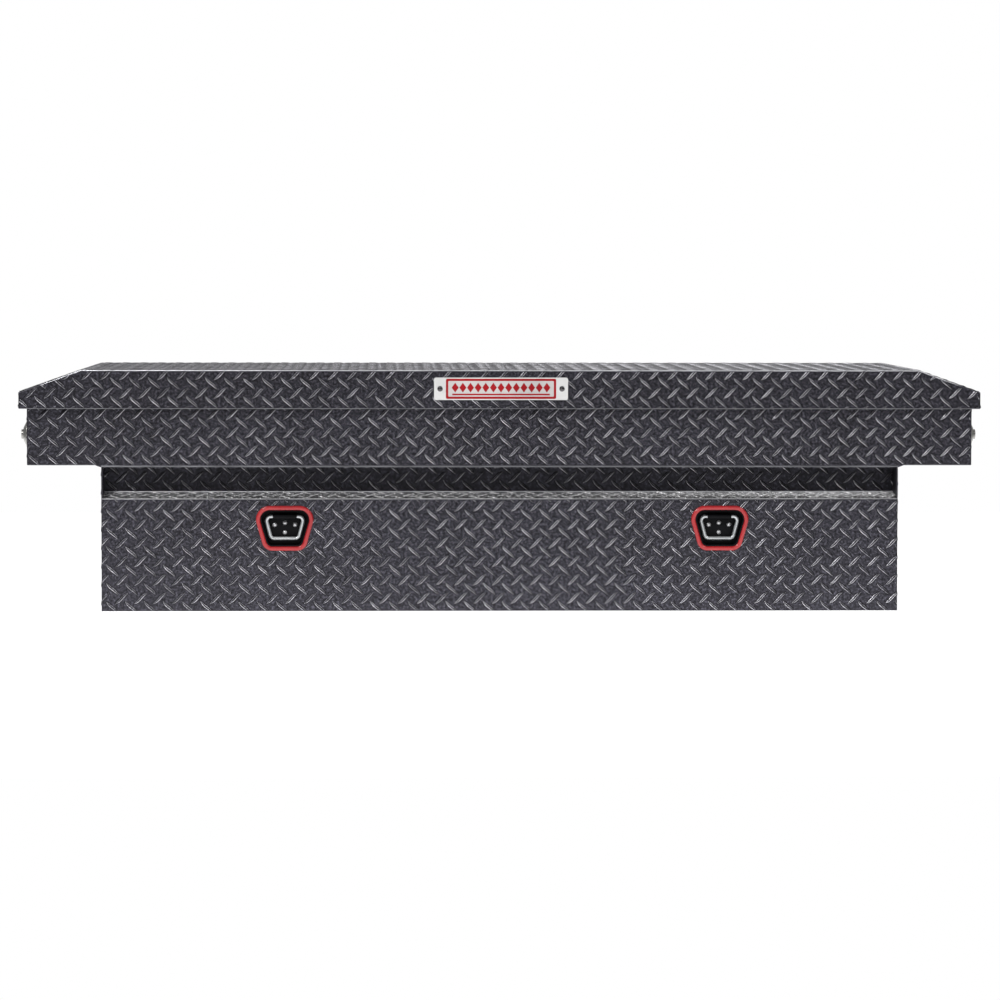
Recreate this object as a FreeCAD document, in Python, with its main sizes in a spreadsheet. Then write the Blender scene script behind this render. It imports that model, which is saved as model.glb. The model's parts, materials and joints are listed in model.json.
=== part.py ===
import FreeCAD, Part
import math
import os
import re
import Sketcher

# Low-profile cross-bed truck tool box, millimetres.
# Origin: centre of the underside of the bin floor.  +X along the box, +Y to the hinge side, +Z up.

SIZES = {
    # sheet metal
    "gauge": 2.5,
    "bend_outside": 3.0,
    "bend_inside": 0.5,
    # box body
    "rail_half": 893.5,
    "bin_half": 754.0,
    "ramp_half": 767.0,
    "front_face": -242.5,
    "rear_face": 246.0,
    "rim_top": 405.0,
    "rim_width": 18.0,
    "fold_under": 272.0,
    "shelf_under": 277.0,
    "recess_face": -192.5,
    "recess_low": 222.5,
    "bin_top": 213.0,
    "tab_low": 216.0,
    "tab_high": 270.0,
    "mount_x": 820.0,
    "mount_y": 190.0,
    "mount_radius": 5.5,
    # seal
    "seal_set_in": 3.0,
    "seal_width": 12.0,
    "seal_top": 416.0,
    # lid
    "lid_half": 908.0,
    "lid_flat_half": 791.0,
    "lid_front": -257.0,
    "lid_back": 251.0,
    "lid_low": 384.4,
    "lid_skirt_top": 415.0,
    "lid_top": 456.3,
    "inner_under": 416.5,
    "inner_gauge": 2.0,
    "inner_half": 888.0,
    "inner_front": -250.0,
    "inner_back": 244.0,
    "hat_gauge": 1.5,
    "hat_crown": 20.0,
    "hat_foot": 36.0,
    "hat_half": 778.0,
    "hat_front_y": -110.0,
    "hat_rear_y": 110.0,
    # hinge
    "hinge_y": 251.0,
    "hinge_z": 379.4,
    "hinge_pin_radius": 2.5,
    "hinge_pin_overhang": 1.8,
    "hinge_clearance": 0.05,
    "knuckle_radius": 4.5,
    "knuckle_pitch": 50.0,
    "knuckle_count": 35.0,
    "knuckle_gap": 0.4,
    "leaf_gauge": 1.5,
    "leaf_set_off": 5.0,
    "leaf_low": 349.4,
    "leaf_high": 410.0,
    "leaf_rivet_low": 360.0,
    "leaf_rivet_high": 398.0,
    "leaf_rivet_pitch": 150.0,
    "leaf_rivet_radius": 2.4,
    "leaf_rivet_head": 4.2,
    "leaf_rivet_dome": 1.6,
    "leaf_rivet_tail": 1.1,
    # gas springs
    "strut_x": 735.0,
    "strut_low_y": 230.4,
    "strut_low_z": 249.0,
    "strut_high_y": 120.6,
    "strut_high_z": 400.0,
    "strut_length": 186.7,
    "stud_radius": 4.0,
    "stud_head_radius": 6.0,
    "stud_head": 2.5,
    "stud_tip": 8.0,
    "eye_half": 5.0,
    "running_gap": 0.05,
    "tube_radius": 9.0,
    "tube_low": 12.0,
    "tube_high": 117.0,
    "tube_neck_radius": 4.8,
    "tube_base": 4.0,
    "gland": 6.0,
    "bore_radius": 7.6,
    "rod_radius": 4.0,
    "piston_low": 20.0,
    "piston_height": 6.0,
    "fork_low": 168.0,
    "fork_reach": 12.0,
    "fork_half": 8.0,
    "plate_gauge": 3.0,
    "strut_plate_half": 17.0,
    "strut_plate_reach": 12.0,
    "lid_stud_web_half": 12.0,
    "lid_stud_web_x": 742.0,
    "lid_stud_plate_x": 775.0,
    "lid_stud_plate_half": 20.0,
    # end latches
    "lock_y": -187.5,
    "lock_z": 332.8,
    "latch_x": 850.0,
    "pivot_z": 352.0,
    "pivot_radius": 3.0,
    "pivot_head_radius": 5.0,
    "pivot_head": 2.0,
    "bracket_half": 22.0,
    "bracket_low": 300.0,
    "bracket_high": 378.0,
    "cheek_tip": 840.0,
    "cheek_low": 334.0,
    "cheek_high": 370.0,
    "hook_half": 4.0,
    "hook_arm_half": 6.0,
    "hook_boss_radius": 7.0,
    "hook_boss_gap": 0.1,
    "hook_eye_radius": 8.0,
    "hook_back_x": 863.0,
    "hook_throat_x": 855.0,
    "hook_nose_x": 846.0,
    "hook_top": 396.0,
    "hook_nose_under": 390.3,
    "hook_throat_low": 372.0,
    "hook_neck_low": 345.0,
    "hook_neck_high": 362.0,
    "pad_radius": 6.0,
    "pad_set_out": 1.7,
    "striker_z": 386.0,
    "striker_radius": 4.0,
    "striker_half": 14.0,
    "striker_top": 426.0,
    "collar_radius": 8.0,
    "collar_height": 3.0,
    # push-button locks
    "barrel_radius": 13.0,
    "barrel_tip": 880.0,
    "barrel_floor": 884.0,
    "escutcheon_radius": 29.5,
    "escutcheon_edge": 897.5,
    "dome_radius": 28.0,
    "dome_tip_radius": 13.5,
    "dome_tip": 904.5,
    "button_radius": 9.45,
    "button_back": 892.5,
    "button_face": 908.7,
    "plunger_radius": 4.0,
    "plunger_tip": 858.0,
    "plug_radius": 5.95,
    "plug_floor": 897.0,
    "plug_proud": 0.3,
    "key_slot_half_width": 0.7,
    "key_slot_half": 3.5,
    "key_slot_depth": 4.0,
    "nut_radius": 18.0,
    "nut_height": 6.0,
    # release linkage
    "link_y": -176.0,
    "link_radius": 3.0,
    "link_low_z": 320.0,
    "link_hole_radius": 4.8,
    "link_stop_radius": 6.5,
    "link_stop": 1.2,
    "link_stop_gap": 0.8,
    "crank_z": 325.0,
    "crank_throw": 32.0,
    "crank_half": 8.0,
    "shaft_radius": 4.0,
    "shaft_post_radius": 9.0,
    "shaft_plate_half": 25.0,
    "shaft_cap_radius": 7.0,
    "shaft_cap": 2.0,
    "shaft_side_gap": 0.5,
    "guide_x": 430.0,
    "guide_half": 6.0,
    "guide_bore": 5.5,
    "guide_wall": 3.0,
    "guide_foot": 14.0,
    # recessed tie-down rings
    "tie_x": 415.8,
    "tie_middle": 3.8,
    "tie_z": 157.0,
    "bezel_top_half": 62.8,
    "bezel_bottom_half": 38.4,
    "bezel_height": 85.0,
    "bezel_band": 8.4,
    "bezel_proud": 4.0,
    "bezel_top_radius": 26.0,
    "bezel_bottom_radius": 20.0,
    "bezel_softening": 3.4,
    "pan_proud": 3.0,
    "pan_wall": 2.0,
    "pan_floor_face": -220.5,
    "pan_fit": 0.5,
    "pan_flange": 8.0,
    "ring_y": -232.0,
    "ring_top": 21.5,
    "ring_bottom": -20.0,
    "ring_top_half": 36.8,
    "ring_bottom_half": 26.0,
    "ring_radius": 3.5,
    "ring_bend": 8.0,
    "loop_radius": 5.6,
    "loop_half": 22.5,
    "clip_half": 27.0,
    "clip_low": -18.0,
    "clip_high": 25.0,
    "tie_rivet_radius": 2.4,
    "tie_rivet_head": 4.4,
    "tie_rivet_dome": 2.6,
    "tie_rivet_side_x": 19.4,
    "tie_rivet_side_z": 5.3,
    "tie_rivet_high_z": 9.0,
    "tie_rivet_low_z": -9.7,
    "backing_half": 31.0,
    "backing_low": -21.0,
    "backing_high": 27.0,
    "backing_gauge": 3.0,
    # nameplate
    "nameplate_half": 126.3,
    "nameplate_half_height": 21.15,
    "nameplate_z": 421.5,
    "nameplate_gauge": 3.5,
    "nameplate_corner": 4.0,
    "nameplate_rivet_x": 115.0,
    "nameplate_rivet_radius": 2.5,
    "nameplate_rivet_head": 5.2,
    "nameplate_rivet_dome": 3.0,
    "nameplate_rivet_tail": 1.5,
}

X_WAY = FreeCAD.Vector(1, 0, 0)
Y_WAY = FreeCAD.Vector(0, 1, 0)
Z_WAY = FreeCAD.Vector(0, 0, 1)
QUARTER_TURN = 90
TURNS = {
    "x": FreeCAD.Rotation(Y_WAY, QUARTER_TURN),
    "y": FreeCAD.Rotation(X_WAY, -QUARTER_TURN),
    "z": FreeCAD.Rotation(),
    "-x": FreeCAD.Rotation(Y_WAY, -QUARTER_TURN),
    "-y": FreeCAD.Rotation(X_WAY, QUARTER_TURN),
}
CLOSE = 1e-4

doc = FreeCAD.newDocument("ToolBox")
dims = doc.addObject("Spreadsheet::Sheet", "dims")
for row, (alias, size) in enumerate(SIZES.items(), start=1):
    dims.set(f"A{row}", alias)
    dims.set(f"B{row}", str(size))
    dims.setAlias(f"B{row}", alias)
doc.recompute()

nodes = []
outlines = {}


def rule(text):
    """Point every size name in an expression at its cell."""
    return re.sub("[a-z_]+", lambda word: ("dims." if word.group() in SIZES else "") + word.group(), text)


def bind(item, settings):
    for name, text in settings.items():
        item.setExpression(name, rule(text))


def node(label, item):
    """Name a finished piece."""
    item.Label = label
    nodes.append(item)
    return item


def block(name, x_span, y_span, z_span):
    item = doc.addObject("Part::Box", name)
    spans = zip(("Length", "Width", "Height"), "xyz", (x_span, y_span, z_span))
    for side, axis, (low, high) in spans:
        bind(item, {side: f"({high}) - ({low})", f"Placement.Base.{axis}": low})
    return item


def stand(item, axis, along, centre):
    """Turn a round primitive to an axis, its base at `along` and its centre on the other two axes."""
    item.Placement = FreeCAD.Placement(FreeCAD.Vector(), TURNS[axis])
    across = iter(centre)
    for name in "xyz":
        bind(item, {f"Placement.Base.{name}": along if name in axis else next(across)})
    return item


def rod(name, axis, radius, span, centre):
    item = doc.addObject("Part::Cylinder", name)
    low, high = span
    bind(item, {"Radius": radius, "Height": f"({high}) - ({low})"})
    return stand(item, axis, low, centre)


def taper(name, axis, radii, span, centre):
    item = doc.addObject("Part::Cone", name)
    low, high = span
    bind(item, {"Radius1": radii[0], "Radius2": radii[1], "Height": f"({high}) - ({low})"})
    return stand(item, axis, low, centre)


def ball(name, radius, x, y, z):
    item = doc.addObject("Part::Sphere", name)
    bind(item, {"Radius": radius, "Placement.Base.x": x, "Placement.Base.y": y, "Placement.Base.z": z})
    return item


def dome(name, axis, radius, height, along, centre):
    """Spherical cap standing on the plane `along`, bulging along the axis."""
    item = doc.addObject("Part::Sphere", name)
    reach = f"((({radius})^2 + ({height})^2) / (2 * ({height})))"
    sign = "+" if axis.startswith("-") else "-"
    bind(item, {"Radius": reach, "Angle1": f"asin(1 - ({height}) / {reach})"})
    return stand(item, axis, f"({along}) {sign} ({reach} - ({height}))", centre)


def join(name, *items):
    item = doc.addObject("Part::MultiFuse", name)
    item.Shapes = list(items)
    item.Refine = True
    return item


def cut(name, base, *tools):
    item = doc.addObject("Part::Cut", name)
    item.Base = base
    item.Tool = tools[0] if len(tools) == 1 else join(name + "_tools", *tools)
    item.Refine = True
    return item


def group(name, items):
    item = doc.addObject("Part::Compound", name)
    item.Links = list(items)
    return item


def mirror(name, source, middle="0"):
    """Other-hand copy, taken across the upright plane at x = middle."""
    item = doc.addObject("Part::Mirroring", name)
    item.Source = source
    item.Normal = X_WAY
    bind(item, {"Base.x": middle})
    return item


def prism(name, plane, corners, span, hole=()):
    """Straight-sided outline, with or without a hole, padded between two distances from the origin."""
    body = doc.addObject("PartDesign::Body", name)
    origin = [item for item in body.Origin.OriginFeatures if item.Role == plane + "_Plane"][0]
    sketch = body.newObject("Sketcher::SketchObject", name + "_outline")
    sketch.AttachmentSupport = (origin, [""])
    sketch.MapMode = "FlatFace"
    for loop in filter(None, (corners, hole)):
        first = sketch.GeometryCount
        count = len(loop)
        turn = 2 * math.pi / count
        spots = [FreeCAD.Vector(math.cos(n * turn), math.sin(n * turn), 0) for n in range(count)]
        for n in range(count):
            sketch.addGeometry(Part.LineSegment(spots[n], spots[(n + 1) % count]), False)
        for n in range(count):
            after = first + (n + 1) % count
            sketch.addConstraint(Sketcher.Constraint("Coincident", first + n, 2, after, 1))
    for n, corner in enumerate([*corners, *hole]):
        for way, text in zip("XY", corner):
            at = sketch.addConstraint(Sketcher.Constraint("Distance" + way, -1, 1, n, 1, 1.0))
            sketch.renameConstraint(at, f"corner_{n}_{way}")
            bind(sketch, {f"Constraints.corner_{n}_{way}": text})
    low, high = span
    bind(sketch, {"AttachmentOffset.Base.z": f"-({high})" if plane == "XZ" else low})
    pad = body.newObject("PartDesign::Pad", name + "_pad")
    pad.Profile = sketch
    bind(pad, {"Length": f"({high}) - ({low})"})
    doc.recompute()
    outlines[body.Name] = sketch
    return body


def soften(body, wanted, radius):
    """Round the edges of a body that answer to `wanted`."""
    edges = [f"Edge{n}" for n, edge in enumerate(body.Tip.Shape.Edges, start=1) if wanted(edge)]
    source = body.Tip
    fillet = body.newObject("PartDesign::Fillet", body.Name + "_rounding")
    fillet.Base = (source, edges)
    bind(fillet, {"Radius": radius})
    doc.recompute()


def bend(body, corners, radius):
    """Round the straight edges that rise from the numbered outline corners."""
    sketch = outlines[body.Name]
    spots = [Part.Vertex(sketch.Placement.multVec(sketch.Geometry[n].StartPoint)) for n in corners]
    way = sketch.Placement.Rotation.multVec(Z_WAY)

    def rises(edge):
        along = edge.tangentAt(edge.FirstParameter).cross(way).Length < CLOSE
        return along and any(edge.distToShape(spot)[0] < CLOSE for spot in spots)

    soften(body, rises, radius)


def face_edges(axis, level):
    """Pick the edges that lie wholly in the plane where an axis has a given level."""

    def lies(edge):
        box = edge.BoundBox
        low, high = {"y": (box.YMin, box.YMax), "z": (box.ZMin, box.ZMax)}[axis]
        return abs(low - level) < CLOSE and abs(high - level) < CLOSE

    return lies


# ---- box body -------------------------------------------------------------------------------
LEDGE_SLOPE = "((recess_low - bin_top) / (recess_face - front_face))"
LEDGE_DROP = f"(gauge * sqrt(1 + {LEDGE_SLOPE}^2) - gauge * {LEDGE_SLOPE})"
INNER_Y = ("front_face + gauge", "rear_face - gauge")


def end_trim():
    """Everything the front and rear sheets give up to the two end sheets."""
    corners = [
        ("bin_half", "-gauge"),
        ("rail_half + gauge", "-gauge"),
        ("rail_half + gauge", "shelf_under"),
        ("ramp_half", "shelf_under"),
        ("bin_half", "fold_under"),
    ]
    outside = prism("trim_outside", "XZ", corners, ("front_face - gauge", "rear_face + gauge"))
    low = block("trim_low", ("bin_half - gauge", "rail_half + gauge"), INNER_Y, ("-gauge", "shelf_under"))
    wall_z = ("shelf_under - gauge", "rim_top + gauge")
    wall = block("trim_wall", ("rail_half - gauge", "rail_half + gauge"), INNER_Y, wall_z)
    side = join("trim_side", outside, low, wall)
    return join("trim_both", side, mirror("trim_other", side))


def taper_outline(inset, centre_x):
    """Corners of the tie-down outline (wide top, narrow bottom) drawn in by an inset."""
    lean = "((bezel_top_half - bezel_bottom_half) / bezel_height)"
    skew = f"sqrt(1 + {lean}^2)"
    top = f"(bezel_top_half - ({lean} + {skew}) * ({inset}))"
    bottom = f"(bezel_bottom_half + ({lean} - {skew}) * ({inset}))"
    high = f"tie_z + bezel_height / 2 - ({inset})"
    low = f"tie_z - bezel_height / 2 + ({inset})"
    return [
        (f"{centre_x} - {bottom}", low),
        (f"{centre_x} + {bottom}", low),
        (f"{centre_x} + {top}", high),
        (f"{centre_x} - {top}", high),
    ]


def rounded_taper(name, inset, centre_x, span):
    """Solid block of the tie-down outline with its corners rounded."""
    body = prism(name, "XZ", taper_outline(inset, centre_x), span)
    bend(body, (0, 1), f"bezel_bottom_radius - ({inset})")
    bend(body, (2, 3), f"bezel_top_radius - ({inset})")
    return body


trim = end_trim()
front_section = [
    ("front_face + rim_width", "rim_top"),
    ("front_face", "rim_top"),
    ("front_face", "fold_under"),
    ("recess_face", "fold_under"),
    ("recess_face", "recess_low"),
    ("front_face", "bin_top"),
    ("front_face", "0"),
    ("front_face + gauge", "0"),
    ("front_face + gauge", f"bin_top - {LEDGE_DROP}"),
    ("recess_face + gauge", f"recess_low - {LEDGE_DROP}"),
    ("recess_face + gauge", "fold_under + gauge"),
    ("front_face + gauge", "fold_under + gauge"),
    ("front_face + gauge", "rim_top - gauge"),
    ("front_face + rim_width", "rim_top - gauge"),
]
front_blank = prism("front_blank", "YZ", front_section, ("-rail_half", "rail_half"))
bend(front_blank, (1, 2, 5, 9, 10), "bend_outside")
bend(front_blank, (3, 4, 8, 11, 12), "bend_inside")
cutout_y = ("front_face - gauge", "front_face + 2 * gauge")
cutout = rounded_taper("cutout", "bezel_band - pan_fit", "tie_x", cutout_y)
node("front_panel", cut("front_cut", front_blank, trim, cutout, mirror("cutout_other", cutout, "tie_middle")))

rear_section = [
    ("rear_face - rim_width", "rim_top"),
    ("rear_face", "rim_top"),
    ("rear_face", "0"),
    ("rear_face - gauge", "0"),
    ("rear_face - gauge", "rim_top - gauge"),
    ("rear_face - rim_width", "rim_top - gauge"),
]
rear_blank = prism("rear_blank", "YZ", rear_section, ("-rail_half", "rail_half"))
bend(rear_blank, (1,), "bend_outside")
bend(rear_blank, (4,), "bend_inside")

floor = block("floor", ("gauge - bin_half", "bin_half - gauge"), INNER_Y, ("0", "gauge"))
node("floor_panel", floor)

end_section = [
    ("bin_half", "0"),
    ("bin_half", "shelf_under"),
    ("rail_half", "shelf_under"),
    ("rail_half", "rim_top"),
    ("rail_half - rim_width", "rim_top"),
    ("rail_half - rim_width", "rim_top - gauge"),
    ("rail_half - gauge", "rim_top - gauge"),
    ("rail_half - gauge", "shelf_under + gauge"),
    ("bin_half - gauge", "shelf_under + gauge"),
    ("bin_half - gauge", "0"),
]
end_blank = prism("end_blank", "XZ", end_section, INNER_Y)
bend(end_blank, (2, 3, 8), "bend_outside")
bend(end_blank, (1, 6, 7), "bend_inside")
flange_x = ("rail_half - rim_width - gauge", "rail_half - gauge")
flange_z = ("rim_top - gauge", "rim_top + gauge")
notch_front = block("notch_front", flange_x, ("front_face", "front_face + rim_width"), flange_z)
notch_rear = block("notch_rear", flange_x, ("rear_face - rim_width", "rear_face"), flange_z)
mount_holes = [
    rod("mount_hole", "z", "mount_radius", ("shelf_under - gauge", "shelf_under + 2 * gauge"), ("mount_x", y))
    for y in ("-mount_y", "mount_y")
]
LOCK = ("lock_y", "lock_z")
barrel_hole = rod("barrel_hole", "x", "barrel_radius", ("rail_half - 4 * gauge", "rail_half + gauge"), LOCK)
end_cut = cut("end_cut", end_blank, notch_front, notch_rear, barrel_hole, *mount_holes)
tab_y = ("front_face", "front_face + gauge")
tab = block("end_tab", ("bin_half - gauge", "bin_half"), tab_y, ("tab_low", "tab_high"))
end_right = node("right_end_panel", join("end_right", end_cut, tab))
node("left_end_panel", mirror("end_left", end_right))

seal_z = ("rim_top", "seal_top")
outer_set = "seal_set_in"
inner_set = "(seal_set_in + seal_width)"
seal_shapes = [
    block(
        name,
        (f"{inset} - rail_half", f"rail_half - {inset}"),
        (f"front_face + {inset}", f"rear_face - {inset}"),
        seal_z,
    )
    for name, inset in (("seal_outer", outer_set), ("seal_inner", inner_set))
]
node("weather_seal", cut("seal", *seal_shapes))

# ---- lid ------------------------------------------------------------------------------------
BEVEL = "((lid_top - lid_skirt_top) / (lid_half - lid_flat_half))"
BEVEL_DROP = f"gauge * sqrt(1 + {BEVEL}^2)"
BEVEL_SHIFT = f"(({BEVEL_DROP} - gauge) / {BEVEL})"


def lid_outline(low, half, skirt_top, flat_half, top):
    return [
        (f"-({half})", low),
        (half, low),
        (half, skirt_top),
        (flat_half, top),
        (f"-({flat_half})", top),
        (f"-({half})", skirt_top),
    ]


outer_outline = lid_outline("lid_low", "lid_half", "lid_skirt_top", "lid_flat_half", "lid_top")
inner_outline = lid_outline(
    "lid_low - gauge",
    "lid_half - gauge",
    f"lid_skirt_top + gauge * {BEVEL} - {BEVEL_DROP}",
    f"lid_flat_half - {BEVEL_SHIFT}",
    "lid_top - gauge",
)
lid_blank = prism("lid_blank", "XZ", outer_outline, ("lid_front", "lid_back"))
lid_hollow = prism("lid_hollow", "XZ", inner_outline, ("lid_front + gauge", "lid_back - gauge"))
bottom_edge = face_edges("z", lid_blank.Shape.BoundBox.ZMin)
soften(lid_blank, lambda edge: not bottom_edge(edge), "bend_outside")

inner_z = ("inner_under", "inner_under + inner_gauge")
inner_blank = block("inner_blank", ("-inner_half", "inner_half"), ("inner_front", "inner_back"), inner_z)


def hat(name, centre_y):
    """Top-hat stiffener: two feet on the inner panel, crown against the lid skin."""
    low = "inner_under + inner_gauge"
    high = "lid_top - gauge"
    corners = [
        (f"{centre_y} - hat_foot", low),
        (f"{centre_y} - hat_crown", low),
        (f"{centre_y} - hat_crown", f"{high} - hat_gauge"),
        (f"{centre_y} + hat_crown", f"{high} - hat_gauge"),
        (f"{centre_y} + hat_crown", low),
        (f"{centre_y} + hat_foot", low),
        (f"{centre_y} + hat_foot", f"{low} + hat_gauge"),
        (f"{centre_y} + hat_crown + hat_gauge", f"{low} + hat_gauge"),
        (f"{centre_y} + hat_crown + hat_gauge", high),
        (f"{centre_y} - hat_crown - hat_gauge", high),
        (f"{centre_y} - hat_crown - hat_gauge", f"{low} + hat_gauge"),
        (f"{centre_y} - hat_foot", f"{low} + hat_gauge"),
    ]
    return prism(name, "YZ", corners, ("-hat_half", "hat_half"))


node("lid_stiffener_front", hat("hat_front", "hat_front_y"))
node("lid_stiffener_rear", hat("hat_rear", "hat_rear_y"))

plate_corners = [
    ("-nameplate_half", "nameplate_z - nameplate_half_height"),
    ("nameplate_half", "nameplate_z - nameplate_half_height"),
    ("nameplate_half", "nameplate_z + nameplate_half_height"),
    ("-nameplate_half", "nameplate_z + nameplate_half_height"),
]
plate_blank = prism("plate_blank", "XZ", plate_corners, ("lid_front - nameplate_gauge", "lid_front"))
bend(plate_blank, (0, 1, 2, 3), "nameplate_corner")
plate_rivets = []
plate_shanks = []
for x in ("-nameplate_rivet_x", "nameplate_rivet_x"):
    spot = (x, "nameplate_z")
    face = "lid_front - nameplate_gauge"
    back = "lid_front + gauge"
    shank = rod("plate_shank", "y", "nameplate_rivet_radius", (face, back), spot)
    head = dome("plate_head", "-y", "nameplate_rivet_head", "nameplate_rivet_dome", face, spot)
    tail = rod("plate_tail", "y", "nameplate_rivet_head", (back, f"{back} + nameplate_rivet_tail"), spot)
    plate_shanks.append(shank)
    plate_rivets.append(join("plate_rivet", shank, head, tail))
node("nameplate", cut("plate_cut", plate_blank, *plate_shanks))
node("nameplate_rivets", group("plate_rivet_pair", plate_rivets))

# ---- piano hinge ----------------------------------------------------------------------------
HINGE = ("hinge_y", "hinge_z")
HINGE_HALF = "(knuckle_count * knuckle_pitch / 2)"
hinge_x = (f"-{HINGE_HALF}", HINGE_HALF)


def leaf(name, plate_y, plate_z, web_z, first, bore):
    """One hinge leaf: its plate, every second knuckle and the strip that joins each to the plate."""
    pieces = [block(name + "_plate", hinge_x, plate_y, plate_z)]
    for n in range(first, int(SIZES["knuckle_count"]), 2):
        low = f"({n} * knuckle_pitch - {HINGE_HALF} + knuckle_gap / 2)"
        span = (low, f"{low} + knuckle_pitch - knuckle_gap")
        pieces.append(rod(name + "_knuckle", "x", "knuckle_radius", span, HINGE))
        pieces.append(block(name + "_web", span, plate_y, web_z))
    hole = rod(name + "_bore", "x", bore, hinge_x, HINGE)
    return cut(name + "_bored", join(name + "_solid", *pieces), hole)


def rivet_line(name, height, layers, tail_y, head_y):
    """Evenly spaced rivets through a hinge leaf and the sheet behind it."""
    shanks = []
    rivets = []
    steps = int(SIZES["knuckle_count"] * SIZES["knuckle_pitch"] / SIZES["leaf_rivet_pitch"] / 2)
    for n in range(-steps, steps + 1):
        spot = (f"{n} * leaf_rivet_pitch", height)
        shank = rod(name + "_shank", "y", "leaf_rivet_radius", layers, spot)
        head = dome(name + "_head", "y", "leaf_rivet_head", "leaf_rivet_dome", head_y, spot)
        tail = rod(name + "_tail", "y", "leaf_rivet_head", (f"{tail_y} - leaf_rivet_tail", tail_y), spot)
        shanks.append(shank)
        rivets.append(join(name, shank, head, tail))
    return join(name + "_shanks", *shanks), group(name + "_group", rivets)


body_leaf_y = ("rear_face", "rear_face + leaf_gauge")
body_leaf_z = ("leaf_low", "hinge_z - leaf_set_off")
body_leaf = leaf("body_leaf", body_leaf_y, body_leaf_z, (body_leaf_z[1], "hinge_z"), 0, "hinge_pin_radius")
lid_leaf_y = ("lid_back", "lid_back + leaf_gauge")
lid_leaf_z = ("hinge_z + leaf_set_off", "leaf_high")
lid_bore = "hinge_pin_radius + hinge_clearance"
lid_leaf = leaf("lid_leaf", lid_leaf_y, lid_leaf_z, ("hinge_z", lid_leaf_z[0]), 1, lid_bore)
rear_layers = ("rear_face - gauge", body_leaf_y[1])
body_shanks, body_rivets = rivet_line("body_rivet", "leaf_rivet_low", rear_layers, *rear_layers)
skirt_layers = ("lid_back - gauge", lid_leaf_y[1])
lid_shanks, lid_rivets = rivet_line("lid_rivet", "leaf_rivet_high", skirt_layers, *skirt_layers)
node("hinge_leaf_body", cut("body_leaf_cut", body_leaf, body_shanks))
node("hinge_leaf_lid", cut("lid_leaf_cut", lid_leaf, lid_shanks))
node("hinge_rivets_body", body_rivets)
node("hinge_rivets_lid", lid_rivets)
node("rear_panel", cut("rear_cut", rear_blank, trim, body_shanks))
node("lid_skin", cut("lid_cut", lid_blank, lid_hollow, lid_shanks, *plate_shanks))
pin_span = (f"-{HINGE_HALF} - hinge_pin_overhang", f"{HINGE_HALF} + hinge_pin_overhang")
node("hinge_pin", rod("pin", "x", "hinge_pin_radius", pin_span, HINGE))

# ---- strikers on the lid --------------------------------------------------------------------
striker_pieces = []
striker_holes = []
leg_spots = ("lock_y - striker_half", "lock_y + striker_half")
for y in leg_spots:
    spot = ("latch_x", y)
    leg = rod("striker_leg", "z", "striker_radius", ("striker_z", "striker_top"), spot)
    under = rod("striker_collar", "z", "collar_radius", ("inner_under - collar_height", "inner_under"), spot)
    nut_low = "inner_under + inner_gauge"
    over = rod("striker_nut", "z", "collar_radius", (nut_low, f"{nut_low} + collar_height"), spot)
    corner = ball("striker_corner", "striker_radius", "latch_x", y, "striker_z")
    striker_pieces += [leg, under, over, corner]
    striker_holes.append(leg)
striker_pieces.append(rod("striker_bar", "y", "striker_radius", leg_spots, ("latch_x", "striker_z")))
striker = node("right_striker", join("striker", *striker_pieces))
node("left_striker", mirror("striker_left", striker))
holes = join("striker_holes", *striker_holes)
node("lid_inner_panel", cut("inner_cut", inner_blank, holes, mirror("striker_holes_left", holes)))

# ---- gas springs ----------------------------------------------------------------------------


def stud(name, wall_x, y, z):
    """Headed stud that carries one end of a gas spring."""
    tip = "strut_x - stud_tip"
    shaft = rod(name + "_shaft", "x", "stud_radius", (tip, wall_x), (y, z))
    head = rod(name + "_head", "x", "stud_head_radius", (tip, f"{tip} + stud_head"), (y, z))
    return [shaft, head]


bin_wall = "bin_half - gauge"
low_plate = block(
    "strut_low_plate",
    (f"{bin_wall} - plate_gauge", bin_wall),
    ("strut_low_y - strut_plate_half", "strut_low_y + strut_plate_reach"),
    ("strut_low_z - strut_plate_half", "strut_low_z + strut_plate_half"),
)
low_stud = stud("strut_low", f"{bin_wall} - plate_gauge / 2", "strut_low_y", "strut_low_z")
low_bracket = node("right_strut_body_bracket", join("strut_low", low_plate, *low_stud))
node("left_strut_body_bracket", mirror("strut_low_left", low_bracket))

high_plate = block(
    "strut_high_plate",
    ("lid_stud_web_x", "lid_stud_plate_x"),
    ("strut_high_y - lid_stud_plate_half", "strut_high_y + lid_stud_plate_half"),
    ("inner_under - plate_gauge", "inner_under"),
)
high_web = block(
    "strut_high_web",
    ("lid_stud_web_x", "lid_stud_web_x + plate_gauge"),
    ("strut_high_y - lid_stud_web_half", "strut_high_y + lid_stud_web_half"),
    ("strut_high_z - stud_head_radius - plate_gauge", "inner_under"),
)
high_stud = stud("strut_high", "lid_stud_web_x + plate_gauge / 2", "strut_high_y", "strut_high_z")
high_bracket = node("right_strut_lid_bracket", join("strut_high", high_plate, high_web, *high_stud))
node("left_strut_lid_bracket", mirror("strut_high_left", high_bracket))


def lean(item):
    """Lay a gas-spring piece, drawn upright on its lower stud, along the line between the studs."""
    item.Placement = FreeCAD.Placement(FreeCAD.Vector(), FreeCAD.Rotation(X_WAY, 1))
    bind(item, {
        "Placement.Rotation.Angle": "atan((strut_low_y - strut_high_y) / (strut_high_z - strut_low_z))",
        "Placement.Base.x": "strut_x",
        "Placement.Base.y": "strut_low_y",
        "Placement.Base.z": "strut_low_z",
    })
    return item


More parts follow.
